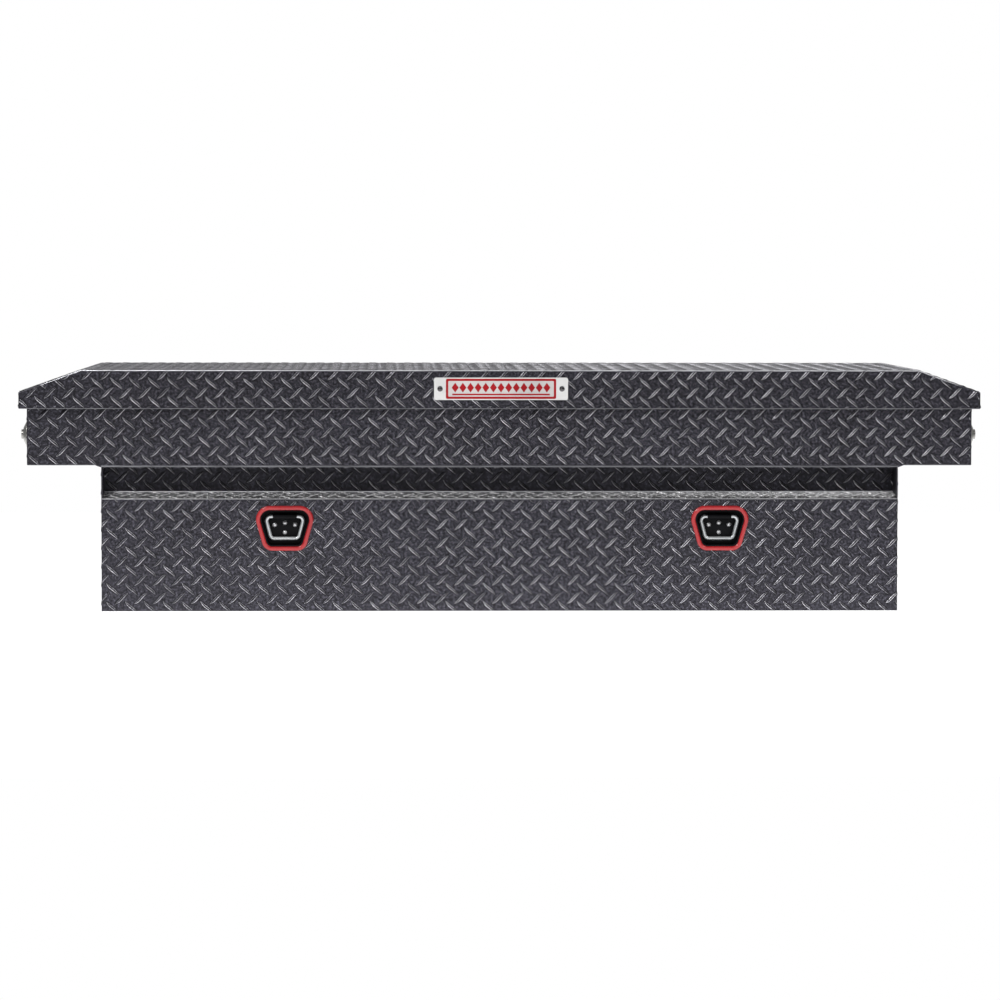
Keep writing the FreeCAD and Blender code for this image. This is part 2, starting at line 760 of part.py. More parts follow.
AXIS = ("0", "0")
eye_span = ("-eye_half", "eye_half")
eye = rod("tube_eye", "x", "tube_radius", eye_span, AXIS)
neck = rod("tube_neck", "z", "tube_neck_radius", ("stud_radius", "tube_low + tube_base"), AXIS)
tube = rod("tube_outside", "z", "tube_radius", ("tube_low", "tube_high"), AXIS)
eye_hole = rod("tube_eye_hole", "x", "stud_radius + running_gap", eye_span, AXIS)
bore = rod("tube_bore", "z", "bore_radius", ("tube_low + tube_base", "tube_high - gland"), AXIS)
gland_hole = rod("gland_hole", "z", "rod_radius + running_gap", ("tube_high - 2 * gland", "tube_high"), AXIS)
cylinder = lean(cut("cylinder", join("cylinder_solid", eye, neck, tube), eye_hole, bore, gland_hole))
node("right_gas_cylinder", cylinder)
node("left_gas_cylinder", mirror("cylinder_left", cylinder))

piston_z = ("piston_low", "piston_low + piston_height")
piston = rod("piston", "z", "bore_radius - running_gap", piston_z, AXIS)
stem = rod("stem", "z", "rod_radius", ("piston_low", "fork_low + rod_radius"), AXIS)
fork_z = ("fork_low", "strut_length + fork_reach")
fork = block("fork", eye_span, ("-fork_half", "fork_half"), fork_z)
seat = rod("fork_seat", "x", "stud_radius + running_gap", eye_span, ("0", "strut_length"))
slot_y = ("-stud_radius - running_gap", "stud_radius + running_gap")
slot = block("fork_slot", eye_span, slot_y, ("strut_length", "strut_length + 2 * fork_reach"))
gas_rod = lean(cut("gas_rod", join("gas_rod_solid", piston, stem, fork), seat, slot))
node("right_gas_rod", gas_rod)
node("left_gas_rod", mirror("gas_rod_left", gas_rod))

# ---- end latches ----------------------------------------------------------------------------
PIVOT = ("latch_x", "pivot_z")
WALL = "rail_half - gauge"
BASE = f"{WALL} - gauge"
base_plate = block(
    "latch_base",
    (BASE, WALL),
    ("lock_y - bracket_half", "lock_y + bracket_half"),
    ("bracket_low", "bracket_high"),
)
cheeks = [
    block("latch_cheek", ("cheek_tip", WALL), (low, high), ("cheek_low", "cheek_high"))
    for low, high in (
        ("lock_y - bracket_half", "lock_y - bracket_half + gauge"),
        ("lock_y + bracket_half - gauge", "lock_y + bracket_half"),
    )
]
pin_y = ("lock_y - bracket_half", "lock_y + bracket_half")
pin_hole = rod("latch_pin_hole", "y", "pivot_radius", pin_y, PIVOT)
bracket = cut("latch_bracket", join("latch_bracket_solid", base_plate, *cheeks), barrel_hole, pin_hole)
node("right_latch_bracket", bracket)
node("left_latch_bracket", mirror("latch_bracket_left", bracket))
pin_heads = [
    rod("latch_pin_head", "y", "pivot_head_radius", (low, high), PIVOT)
    for low, high in ((f"{pin_y[0]} - pivot_head", pin_y[0]), (pin_y[1], f"{pin_y[1]} + pivot_head"))
]
latch_pin = node("right_latch_pivot_pin", join("latch_pin", pin_hole, *pin_heads))
node("left_latch_pivot_pin", mirror("latch_pin_left", latch_pin))

HOOK_Y = ("lock_y - hook_half", "lock_y + hook_half")
hook_outline = [
    ("latch_x - hook_arm_half", "link_low_z"),
    ("latch_x + hook_arm_half", "link_low_z"),
    ("latch_x + hook_arm_half", "hook_neck_low"),
    ("hook_back_x", "hook_neck_high"),
    ("hook_back_x", "hook_top"),
    ("hook_nose_x", "hook_top"),
    ("hook_nose_x", "hook_nose_under"),
    ("hook_throat_x", "hook_nose_under"),
    ("hook_throat_x", "hook_throat_low"),
    ("latch_x - hook_arm_half", "pivot_z"),
]
hook_blade = prism("hook_blade", "XZ", hook_outline, HOOK_Y)
hook_eye = rod("hook_eye", "y", "hook_eye_radius", HOOK_Y, ("latch_x", "link_low_z"))
pad_spot = ("latch_x + pad_set_out", "lock_z")
hook_pad = rod("hook_pad", "y", "pad_radius", HOOK_Y, pad_spot)
cheek_inner = "bracket_half - gauge - hook_boss_gap"
boss_y = (f"lock_y - ({cheek_inner})", f"lock_y + {cheek_inner}")
hook_boss = rod("hook_boss", "y", "hook_boss_radius", boss_y, PIVOT)
hook_pivot = rod("hook_pivot", "y", "pivot_radius + running_gap", boss_y, PIVOT)
hook_link_hole = rod("hook_link_hole", "y", "link_hole_radius", HOOK_Y, ("latch_x", "link_low_z"))
hook_solid = join("hook_solid", hook_blade, hook_eye, hook_pad, hook_boss)
hook = node("right_latch_hook", cut("hook", hook_solid, hook_pivot, hook_link_hole))
node("left_latch_hook", mirror("hook_left", hook))

# ---- push-button locks ----------------------------------------------------------------------
barrel = rod("barrel", "x", "barrel_radius", ("barrel_tip", "rail_half"), LOCK)
rim = rod("escutcheon", "x", "escutcheon_radius", ("rail_half", "escutcheon_edge"), LOCK)
swell = taper("escutcheon_dome", "x", ("dome_radius", "dome_tip_radius"), ("escutcheon_edge", "dome_tip"), LOCK)
button_bore = rod("button_bore", "x", "button_radius + running_gap", ("barrel_floor", "dome_tip"), LOCK)
plunger_hole = rod("plunger_hole", "x", "plunger_radius + running_gap", ("barrel_tip", "barrel_floor"), LOCK)
housing = cut("housing", join("housing_solid", barrel, rim, swell), button_bore, plunger_hole)
node("right_lock_housing", housing)
node("left_lock_housing", mirror("housing_left", housing))

hexagon = doc.addObject("Part::Prism", "nut_hexagon")
bind(hexagon, {"Circumradius": "nut_radius", "Height": "nut_height"})
stand(hexagon, "x", f"{BASE} - nut_height", LOCK)
nut = node("right_lock_nut", cut("nut", hexagon, barrel))
node("left_lock_nut", mirror("nut_left", nut))

button_head = rod("button_head", "x", "button_radius", ("button_back", "button_face"), LOCK)
plunger = rod("plunger", "x", "plunger_radius", ("plunger_tip", "button_back + gauge"), LOCK)
plug_bore = rod("plug_bore", "x", "plug_radius + running_gap", ("plug_floor", "button_face"), LOCK)
button = node("right_push_button", cut("button", join("button_solid", button_head, plunger), plug_bore))
node("left_push_button", mirror("button_left", button))
plug_face = "button_face + plug_proud"
plug_solid = rod("plug_solid", "x", "plug_radius", ("plug_floor", plug_face), LOCK)
key_slot = block(
    "key_slot",
    (f"{plug_face} - key_slot_depth", plug_face),
    ("lock_y - key_slot_half_width", "lock_y + key_slot_half_width"),
    ("lock_z - key_slot_half", "lock_z + key_slot_half"),
)
plug = node("right_lock_plug", cut("plug", plug_solid, key_slot))
node("left_lock_plug", mirror("plug_left", plug))

# ---- release linkage ------------------------------------------------------------------------
CRANK = ("0", "crank_z")
link_stop_y = (f"{HOOK_Y[0]} - link_stop_gap - link_stop", f"{HOOK_Y[0]} - link_stop_gap")


def link(name, way, crank_pin_z):
    """Rod from a latch hook to its crank pin, with a turned-in, upset end at each."""
    run = doc.addObject("Part::Cylinder", name + "_run")
    run.Placement = FreeCAD.Placement(FreeCAD.Vector(), FreeCAD.Rotation(Y_WAY, 1))
    rise = f"({crank_pin_z} - link_low_z)"
    bind(run, {
        "Radius": "link_radius",
        "Height": f"sqrt(latch_x^2 + {rise}^2)",
        "Placement.Rotation.Angle": f"{way} * (90 deg + atan({rise} / latch_x))",
        "Placement.Base.y": "link_y",
        "Placement.Base.z": crank_pin_z,
    })
    pieces = [run]
    for x, z in ((f"{way} * latch_x", "link_low_z"), ("0", crank_pin_z)):
        pieces.append(rod(name + "_pin", "y", "link_radius", (link_stop_y[0], "link_y"), (x, z)))
        pieces.append(rod(name + "_stop", "y", "link_stop_radius", link_stop_y, (x, z)))
        pieces.append(ball(name + "_elbow", "link_radius", x, "link_y", z))
    return join(name, *pieces)


node("right_link_rod", link("link_right", "1", "(crank_z + crank_throw)"))
node("left_link_rod", link("link_left", "-1", "(crank_z - crank_throw)"))

crank_pins = [("0", f"crank_z {sign} crank_throw") for sign in "+-"]
crank_arm = block("crank_arm", ("-crank_half", "crank_half"), HOOK_Y, (crank_pins[1][1], crank_pins[0][1]))
crank_ends = [rod("crank_end", "y", "crank_half", HOOK_Y, spot) for spot in crank_pins]
crank_holes = [rod("crank_hole", "y", "link_hole_radius", HOOK_Y, spot) for spot in crank_pins]
shaft_hole = rod("shaft_hole", "y", "shaft_radius + running_gap", HOOK_Y, CRANK)
crank_solid = join("crank_solid", crank_arm, *crank_ends)
node("release_crank", cut("crank", crank_solid, shaft_hole, *crank_holes))

INSIDE = "front_face + gauge"
foot_y = (INSIDE, f"{INSIDE} + plate_gauge")
foot_z = ("crank_z - shaft_plate_half", "crank_z + shaft_plate_half")
shaft_foot = block("shaft_foot", ("-shaft_plate_half", "shaft_plate_half"), foot_y, foot_z)
shaft_post = rod("shaft_post", "y", "shaft_post_radius", (INSIDE, f"{HOOK_Y[0]} - shaft_side_gap"), CRANK)
cap_low = f"{HOOK_Y[1]} + shaft_side_gap"
shaft = rod("shaft", "y", "shaft_radius", (INSIDE, f"{cap_low} + shaft_cap"), CRANK)
shaft_cap = rod("shaft_cap", "y", "shaft_cap_radius", (cap_low, f"{cap_low} + shaft_cap"), CRANK)
node("crank_bracket", join("crank_bracket", shaft_foot, shaft_post, shaft, shaft_cap))

guides = []
for way, pin_z in (("1", "(crank_z + crank_throw)"), ("-1", "(crank_z - crank_throw)")):
    x = f"{way} * guide_x"
    z = f"({pin_z} + (link_low_z - {pin_z}) * guide_x / latch_x)"
    guide_x = (f"{x} - guide_half", f"{x} + guide_half")
    arm_z = (f"{z} - gauge / 2", f"{z} + gauge / 2")
    foot = block("guide_foot", guide_x, (INSIDE, f"{INSIDE} + gauge"), (f"{z} - guide_foot", f"{z} + guide_foot"))
    arm = block("guide_arm", guide_x, (INSIDE, "link_y - guide_bore"), arm_z)
    around = ("link_y", z)
    loop = rod("guide_loop", "x", "guide_bore + guide_wall", guide_x, around)
    hole = rod("guide_hole", "x", "guide_bore", guide_x, around)
    guides.append(cut("guide", join("guide_solid", foot, arm, loop), hole))
node("link_rod_guides", group("guide_pair", guides))

# ---- recessed tie-down rings ----------------------------------------------------------------
bezel_y = ("front_face - bezel_proud", "front_face")
bezel = prism("bezel", "XZ", taper_outline("0", "tie_x"), bezel_y, taper_outline("bezel_band", "tie_x"))
bend(bezel, (0, 1), "bezel_bottom_radius")
bend(bezel, (2, 3), "bezel_top_radius")
bend(bezel, (4, 5), "bezel_bottom_radius - bezel_band")
bend(bezel, (6, 7), "bezel_top_radius - bezel_band")
soften(bezel, face_edges("y", bezel.Shape.BoundBox.YMin), "bezel_softening")
node("right_tiedown_bezel", bezel)
node("left_tiedown_bezel", mirror("bezel_left", bezel, "tie_middle"))

pan_front = "front_face - pan_proud"
pan_back = "pan_floor_face + pan_wall"
cup = rounded_taper("pan_cup", "bezel_band", "tie_x", (pan_front, pan_back))
flange_y = (INSIDE, f"{INSIDE} + pan_wall")
flange = rounded_taper("pan_flange", "bezel_band - pan_flange", "tie_x", flange_y)
hollow = rounded_taper("pan_hollow", "bezel_band + pan_wall", "tie_x", (pan_front, "pan_floor_face"))

BACKING = f"{pan_back} + backing_gauge"
CLIP_FACE = "pan_floor_face - pan_wall"
tie_rivets = []
tie_shanks = []
for x, z in (
    ("tie_x - tie_rivet_side_x", "tie_z + tie_rivet_side_z"),
    ("tie_x + tie_rivet_side_x", "tie_z + tie_rivet_side_z"),
    ("tie_x", "tie_z + tie_rivet_high_z"),
    ("tie_x", "tie_z + tie_rivet_low_z"),
):
    shank = rod("tie_shank", "y", "tie_rivet_radius", (CLIP_FACE, BACKING), (x, z))
    head = dome("tie_head", "-y", "tie_rivet_head", "tie_rivet_dome", CLIP_FACE, (x, z))
    tail = rod("tie_tail", "y", "tie_rivet_head", (BACKING, f"{BACKING} + pan_wall"), (x, z))
    tie_shanks.append(shank)
    tie_rivets.append(join("tie_rivet", shank, head, tail))
tie_holes = join("tie_holes", *tie_shanks)
fasteners = node("right_tiedown_fasteners", group("tie_rivet_group", tie_rivets))
node("left_tiedown_fasteners", mirror("tie_rivet_left", fasteners, "tie_middle"))

pan = node("right_tiedown_pan", cut("pan", join("pan_solid", cup, flange), hollow, tie_holes))
node("left_tiedown_pan", mirror("pan_left", pan, "tie_middle"))

backing_x = ("tie_x - backing_half", "tie_x + backing_half")
backing_z = ("tie_z + backing_low", "tie_z + backing_high")
backing = cut("backing", block("backing_blank", backing_x, (pan_back, BACKING), backing_z), tie_holes)
node("right_tiedown_backing_plate", backing)
node("left_tiedown_backing_plate", mirror("backing_left", backing, "tie_middle"))

RING_Z = "tie_z + ring_top"
loop_x = ("tie_x - loop_half", "tie_x + loop_half")
clip_x = ("tie_x - clip_half", "tie_x + clip_half")
clip_y = (CLIP_FACE, "pan_floor_face")
clip_plate = block("clip_plate", clip_x, clip_y, ("tie_z + clip_low", "tie_z + clip_high"))
web_z = (f"{RING_Z} + ring_radius", f"{RING_Z} + loop_radius")
clip_web = block("clip_web", loop_x, ("ring_y", CLIP_FACE), web_z)
clip_loop = rod("clip_loop", "x", "loop_radius", loop_x, ("ring_y", RING_Z))
clip_bore = rod("clip_bore", "x", "ring_radius + running_gap", loop_x, ("ring_y", RING_Z))
clip_neck = block("clip_neck", loop_x, (CLIP_FACE, "pan_floor_face"), (f"{RING_Z}", web_z[1]))
clip_solid = join("clip_solid", clip_plate, clip_neck, clip_web, clip_loop)
clip = node("right_tiedown_clip", cut("clip", clip_solid, clip_bore, tie_holes))
node("left_tiedown_clip", mirror("clip_left", clip, "tie_middle"))

# The ring is one closed loop of round bar, hung from its top bar in the clip loop.


def ring_loop(offset):
    """Ring outline, drawn outwards from the bar's centre line by an offset."""
    lean_in = "((ring_top_half - ring_bottom_half) / (ring_top - ring_bottom))"
    skew = f"sqrt(1 + {lean_in}^2)"
    top = f"(ring_top_half + ({skew} + {lean_in}) * ({offset}))"
    bottom = f"(ring_bottom_half + ({skew} - {lean_in}) * ({offset}))"
    low = f"tie_z + ring_bottom - ({offset})"
    high = f"tie_z + ring_top + ({offset})"
    return [
        (f"tie_x - {bottom}", low),
        (f"tie_x + {bottom}", low),
        (f"tie_x + {top}", high),
        (f"tie_x - {top}", high),
    ]


ring_y = ("ring_y - ring_radius", "ring_y + ring_radius")
ring = prism("ring", "XZ", ring_loop("ring_radius"), ring_y, ring_loop("-ring_radius"))
bend(ring, (0, 1, 2, 3), "ring_bend + ring_radius")
bend(ring, (4, 5, 6, 7), "ring_bend - ring_radius")
front_round = face_edges("y", ring.Shape.BoundBox.YMin)
back_round = face_edges("y", ring.Shape.BoundBox.YMax)
soften(ring, lambda edge: front_round(edge) or back_round(edge), "ring_radius - running_gap")
node("right_tiedown_ring", ring)
node("left_tiedown_ring", mirror("ring_left", ring, "tie_middle"))

doc.recompute()
for item in doc.Objects:
    faults = [state for state in item.State if state in ("Invalid", "Error")]
    if faults:
        raise RuntimeError(f"{item.Label}: {faults}")
for item in nodes:
    if item.Shape.isNull() or not item.Shape.isValid():
        raise RuntimeError(f"{item.Label}: bad shape")

os.makedirs("parts", exist_ok=True)
for item in nodes:
    item.Shape.exportStep(f"parts/{item.Label}.step")
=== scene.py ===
import json
import math
import bmesh
import bpy
import numpy as np
from mathutils import Euler, Matrix, Vector


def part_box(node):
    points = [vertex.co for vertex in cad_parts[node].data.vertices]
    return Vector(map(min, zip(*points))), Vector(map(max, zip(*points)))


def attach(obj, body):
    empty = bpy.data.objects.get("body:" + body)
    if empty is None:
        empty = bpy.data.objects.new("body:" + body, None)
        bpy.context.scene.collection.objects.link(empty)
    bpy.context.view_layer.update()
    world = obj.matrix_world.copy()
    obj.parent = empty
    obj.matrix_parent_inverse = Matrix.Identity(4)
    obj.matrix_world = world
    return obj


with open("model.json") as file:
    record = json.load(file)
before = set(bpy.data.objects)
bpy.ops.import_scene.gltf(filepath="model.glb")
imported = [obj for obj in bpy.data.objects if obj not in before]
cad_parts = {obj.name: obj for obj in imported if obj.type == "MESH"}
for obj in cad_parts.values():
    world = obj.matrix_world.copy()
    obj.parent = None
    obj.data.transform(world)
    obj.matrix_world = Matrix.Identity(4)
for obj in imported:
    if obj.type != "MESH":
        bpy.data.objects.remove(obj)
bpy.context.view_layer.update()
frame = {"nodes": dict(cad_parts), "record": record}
nodes = frame["nodes"]
scene = bpy.context.scene

MM = 0.001
X, Y, Z = Vector((1, 0, 0)), Vector((0, 1, 0)), Vector((0, 0, 1))
SIDES = (("left", -1), ("right", 1))
SHARP_CAD, SHARP_LUG, SHARP_BEAD = 32, 60, 38  # degrees from which an edge stays hard

# ---- sizes ----------------------------------------------------------------------------------
# Outer faces of the folded sheets, read from the CAD boxes.
panel_low, panel_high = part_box("front_panel")
floor_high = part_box("floor_panel")[1]
lid_low, lid_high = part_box("lid_skin")
front, rail, rim = panel_low.y, panel_high.x, panel_high.z
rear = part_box("rear_panel")[1].y
deep = rear - front
gauge = floor_high.z
bin_end = floor_high.x + gauge
lid_half, lid_deep = lid_high.x, lid_high.y - lid_low.y

# Bends that lie inside those boxes.
BIN_Z = 213 * MM  # top of the bin's front face, where the ledge starts
LEDGE_DEEP = 50 * MM
RECESS_Y = front + LEDGE_DEEP
RECESS_Z = 222.5 * MM  # back of the ledge, foot of the recess
FOLD_Z = 272 * MM  # underside of the rail's front
SHELF_Z = 277 * MM  # underside of the end shelves
RAIL_BEND = 13 * MM  # from the bin's end to the straight part of a shelf
SKIRT_Z = 415 * MM  # top of the lid's skirt, foot of the end bevels
FLAT_HALF = 791 * MM  # half the length of the lid's flat top
bevel_run, bevel_rise = lid_half - FLAT_HALF, lid_high.z - SKIRT_Z
bevel_long = math.hypot(bevel_run, bevel_rise)

# Gaps that the lugs keep.
SET = 2.6 * MM  # to a folded edge
SKIRT_SET = 1.5 * MM  # to the top of the skirt
LEAF_SET = 1.5 * MM  # to a hinge leaf
BEZEL_LOW = 35.5 * MM  # half widths of the clear space at a bezel's foot and head
BEZEL_HIGH = 57 * MM
BEZEL_SET = 4 * MM
BEZEL_RADII = (16 * MM, 16 * MM, 22 * MM, 22 * MM)
LOCK_CLEAR = 27 * MM  # radius of the clear space under a lock's flange

# Where the front sheet's ledge and recess lie, for the ledge's painted highlight and the recess's painted
# shade.
FACING = 0.9
LEDGE_BAND, LEDGE_LIMIT = (210.5 * MM, 224 * MM), -190 * MM
RECESS_BAND, RECESS_LIMIT = (223.5 * MM, 273.5 * MM), -200 * MM


# ---- small helpers --------------------------------------------------------------------------
def add_piece(name, mesh, material, body, sharp=None):
    """Link a mesh to the scene on its body; sharp is the angle in degrees that stays a hard edge."""
    if sharp:
        mesh.shade_smooth()
        mesh.set_sharp_from_angle(angle=math.radians(sharp))
    mesh.materials.append(material)
    piece = bpy.data.objects.new(name, mesh)
    scene.collection.objects.link(piece)
    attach(piece, body)
    return piece


def build_piece(name, verts, faces, material, body, sharp=None):
    mesh = bpy.data.meshes.new(name)
    mesh.from_pydata([tuple(v) for v in verts], [], faces)
    return add_piece(name, mesh, material, body, sharp)


def scaled(colour, factor):
    return tuple(factor * c for c in colour)


# ---- shader parts ---------------------------------------------------------------------------
def shader(name, **settings):
    """A Principled material with plain values on its own sockets."""
    material = bpy.data.materials.new(name)
    material.use_nodes = True
    bsdf = material.node_tree.nodes["Principled BSDF"]
    for key, value in settings.items():
        bsdf.inputs[key.replace("_", " ")].default_value = value
    return material, material.node_tree, bsdf


def noise(tree, scale, detail=3.0, stretch=(1, 1, 1), roughness=0.5):
    coord = tree.nodes.new("ShaderNodeTexCoord")
    mapping = tree.nodes.new("ShaderNodeMapping")
    mapping.inputs["Scale"].default_value = stretch
    tree.links.new(coord.outputs["Object"], mapping.inputs["Vector"])
    texture = tree.nodes.new("ShaderNodeTexNoise")
    texture.inputs["Scale"].default_value = scale
    texture.inputs["Detail"].default_value = detail
    texture.inputs["Roughness"].default_value = roughness
    tree.links.new(mapping.outputs["Vector"], texture.inputs["Vector"])
    return texture.outputs["Fac"]


def spread(tree, source, low, high, start=0.3, end=0.7):
    """Map start to end of the source onto low to high."""
    node = tree.nodes.new("ShaderNodeMapRange")
    node.inputs["From Min"].default_value = start
    node.inputs["From Max"].default_value = end
    node.inputs["To Min"].default_value = low
    node.inputs["To Max"].default_value = high
    tree.links.new(source, node.inputs["Value"])
    return node.outputs["Result"]


def axis_value(tree, axis, coordinates="Object"):
    coord = tree.nodes.new("ShaderNodeTexCoord")
    parts = tree.nodes.new("ShaderNodeSeparateXYZ")
    tree.links.new(coord.outputs[coordinates], parts.inputs["Vector"])
    return parts.outputs[axis]


def across(tree, low, high, axis="X"):
    """0 to 1 along one axis of the frame, between two places in metres."""
    return spread(tree, axis_value(tree, axis), 0, 1, low, high)


def blend(tree, factor, first, second):
    """Mix two colours; either may be a socket or a plain colour."""
    node = tree.nodes.new("ShaderNodeMix")
    node.data_type = "RGBA"
    tree.links.new(factor, node.inputs["Factor"])
    for socket, value in ((node.inputs[6], first), (node.inputs[7], second)):
        if isinstance(value, tuple):
            socket.default_value = (*value, 1)
        else:
            tree.links.new(value, socket)
    return node.outputs[2]


def bump(tree, bsdf, *layers):
    """Stack bump layers, each (height socket, distance in metres, strength)."""
    last = None
    for height, distance, strength in layers:
        node = tree.nodes.new("ShaderNodeBump")
        node.inputs["Distance"].default_value = distance
        node.inputs["Strength"].default_value = strength
        tree.links.new(height, node.inputs["Height"])
        if last:
            tree.links.new(last, node.inputs["Normal"])
        last = node.outputs["Normal"]
    tree.links.new(last, bsdf.inputs["Normal"])


# ---- materials ------------------------------------------------------------------------------
CLOUD_SCALE, WAVE_SCALE, GRAIN_SCALE, GLINT_SCALE = 9, 26, 210, 420
PIT_SHADE, FLECK_SHADE, ROOT_SHADE = 0.14, 2.6, 0.1  # times the plate's dark, light and dark colours
PIT_BAND, FLECK_BAND = (0.36, 0.60), (0.54, 0.70)  # grain values over which pits end and flecks begin
FLECK_SHARE = 0.9
ROOT_BAND, WEAR_AND_HIGHLIGHT_BAND = (-0.3, 0.12), (0.1, 1.0)  # crest values over which the root's painted shade ends, and the wear and painted highlight begin
WEAR_AND_HIGHLIGHT_SHARE = 0.75
GLINT_BAND, GLINT_RANGE = (0.38, 0.62), (0.25, 1.5)
SMOOTH_BAND, ROOT_SMOOTHER, CREST_SMOOTHER = (0.2, 1.0), 0.06, 0.08
WAVES = (0.0012, 0.10)  # bump distance and strength
GRAIN = (0.00025, 0.45)
FINE_GRAIN = (0.00005, 0.35)
SWEEP = (0.10, 0.55)  # painted light: the ledge brightens along x between these
DUSK_RUN = (front + 0.25 * LEDGE_DEEP, front + 0.6 * LEDGE_DEEP)  # and gets painted shade towards the front along y between these
DUSK_DARK, DUSK_LIGHT = 0.3, 0.126  # times the dark and light colours for the painted shade at the ledge's front


def coated_plate(name, dark, light, crest=None, rough=(0.34, 0.50), metallic=0.82, ledge=False):
    """Gunmetal coat over tread plate: cloudy tint, fine grain, slight waviness.

    crest is the colour of the wear and painted highlights on the lugs.  On the ledge the tint is painted light
    that brightens along x instead of running in clouds, and painted shade darkens it towards the front.
    """
    material, tree, bsdf = shader(
        name, Metallic=metallic, Specular_IOR_Level=0.3, Coat_Weight=0.05, Coat_Roughness=0.3
    )
    grain = noise(tree, GRAIN_SCALE, 5, roughness=0.75)
    # On the ledge the tint is painted light and shade: lighter along x, darker towards the front.
    if ledge:
        near = blend(tree, across(tree, *SWEEP), scaled(dark, DUSK_DARK), scaled(light, DUSK_LIGHT))
        far = blend(tree, across(tree, *SWEEP), dark, light)
        tint = blend(tree, across(tree, *DUSK_RUN, axis="Y"), near, far)
    else:
        tint = blend(tree, spread(tree, noise(tree, CLOUD_SCALE, 4), 0, 1), dark, light)
    pitted = blend(tree, spread(tree, grain, 0, 1, *PIT_BAND), scaled(dark, PIT_SHADE), tint)
    flecks = spread(tree, grain, 0, FLECK_SHARE, *FLECK_BAND)
    colour = blend(tree, flecks, pitted, scaled(light, FLECK_SHADE))
    roughness = spread(tree, grain, *rough)
    if crest:
        ridge = tree.nodes.new("ShaderNodeAttribute")
        ridge.attribute_name = "crest"
        height = ridge.outputs["Fac"]
        # Painted shade around each lug's root.
        root = blend(tree, spread(tree, height, 0, 1, *ROOT_BAND), scaled(dark, ROOT_SHADE), colour)
        # Painted glints scatter the wear and painted highlight at random.
        glint = spread(tree, noise(tree, GLINT_SCALE, 3, roughness=0.8), *GLINT_RANGE, *GLINT_BAND)
        wear_and_highlight = tree.nodes.new("ShaderNodeMath")
        wear_and_highlight.operation = "MULTIPLY"
        tree.links.new(spread(tree, height, 0, WEAR_AND_HIGHLIGHT_SHARE, *WEAR_AND_HIGHLIGHT_BAND), wear_and_highlight.inputs[0])
        tree.links.new(glint, wear_and_highlight.inputs[1])
        colour = blend(tree, wear_and_highlight.outputs["Value"], root, crest)
        root_rough, crest_rough = rough[1] - ROOT_SMOOTHER, rough[0] - CREST_SMOOTHER
        roughness = spread(tree, height, root_rough, crest_rough, *SMOOTH_BAND)
    tree.links.new(colour, bsdf.inputs["Base Color"])
    tree.links.new(roughness, bsdf.inputs["Roughness"])
    bump(tree, bsdf, (noise(tree, WAVE_SCALE, 2), *WAVES), (grain, *GRAIN))
    return material


def metal(name, dark, light, rough, grain=(1, 1, 1), scale=160, metallic=1.0):
    """Metal or plating with fine lengthwise or even grain."""
    material, tree, bsdf = shader(name, Metallic=metallic)
    streaks = noise(tree, scale, 4, grain, 0.6)
    tint = blend(tree, spread(tree, noise(tree, 18, 3), 0, 1), dark, light)
    tree.links.new(tint, bsdf.inputs["Base Color"])
    tree.links.new(spread(tree, streaks, *rough), bsdf.inputs["Roughness"])
    bump(tree, bsdf, (streaks, *FINE_GRAIN))
    return material


def soft(name, dark, light, rough, depth=0.0002, specular=0.4, coat=0.0):
    """Rubber, nylon, paint and moulded plastic."""
    material, tree, bsdf = shader(name, Specular_IOR_Level=specular, Coat_Weight=coat, Coat_Roughness=0.15)
    fine = noise(tree, 300, 4, roughness=0.6)
    tint = blend(tree, spread(tree, noise(tree, 14, 3), 0, 1), dark, light)
    tree.links.new(tint, bsdf.inputs["Base Color"])
    tree.links.new(spread(tree, fine, *rough), bsdf.inputs["Roughness"])
    bump(tree, bsdf, (fine, depth, 0.3))
    return material


def edge(name, dark, light, metallic):
    return metal(name, dark, light, (0.34, 0.5), scale=300, metallic=metallic)


GUNMETAL = ((0.034, 0.0325, 0.0405), (0.044, 0.0425, 0.054))
# Painted shade: a darker copy of the plate for the shaded recess over the ledge, and for its lugs.
GUNMETAL_SHADED = ((0.012, 0.0115, 0.016), (0.020, 0.019, 0.025))
PLATE = coated_plate("gunmetal_plate", *GUNMETAL)
# The crest colour is wear and painted highlight on the lug flanks and tips.
LUG = coated_plate("gunmetal_lug", *GUNMETAL, crest=(0.70, 0.695, 0.73))
SHADED = coated_plate("gunmetal_shaded", *GUNMETAL_SHADED)
SHADED_LUG = coated_plate("gunmetal_shaded_lug", *GUNMETAL_SHADED, crest=(0.95, 0.945, 0.98))
# Painted highlight: a much lighter copy of the plate for the up-facing ledge and its lugs.
LEDGE_HIGHLIGHT = coated_plate(
    "gunmetal_ledge_painted_highlight", (0.115, 0.114, 0.122), (0.80, 0.797, 0.81),
    rough=(0.40, 0.60), metallic=0.3, ledge=True
)
LEDGE_HIGHLIGHT_LUG = coated_plate(
    "gunmetal_ledge_painted_highlight_lug", (0.22, 0.218, 0.23), (0.88, 0.875, 0.89),
    crest=(1.0, 1.0, 1.0), metallic=0.1, ledge=True
)
# Lighter metals for the beads along folds, hem and edges: painted highlights where the bends catch light.
EDGE = edge("edge_painted_highlight", (0.11, 0.11, 0.12), (0.19, 0.19, 0.20), 0.6)
BRIGHT_EDGE_HIGHLIGHT = edge("bright_edge_painted_highlight", (0.34, 0.34, 0.36), (0.56, 0.56, 0.59), 0.5)
HEM = edge("hem_edge", (0.055, 0.055, 0.061), (0.11, 0.11, 0.12), 0.6)
DIM_EDGE_HIGHLIGHT = edge("dim_edge_painted_highlight", (0.17, 0.17, 0.18), (0.30, 0.30, 0.31), 0.5)
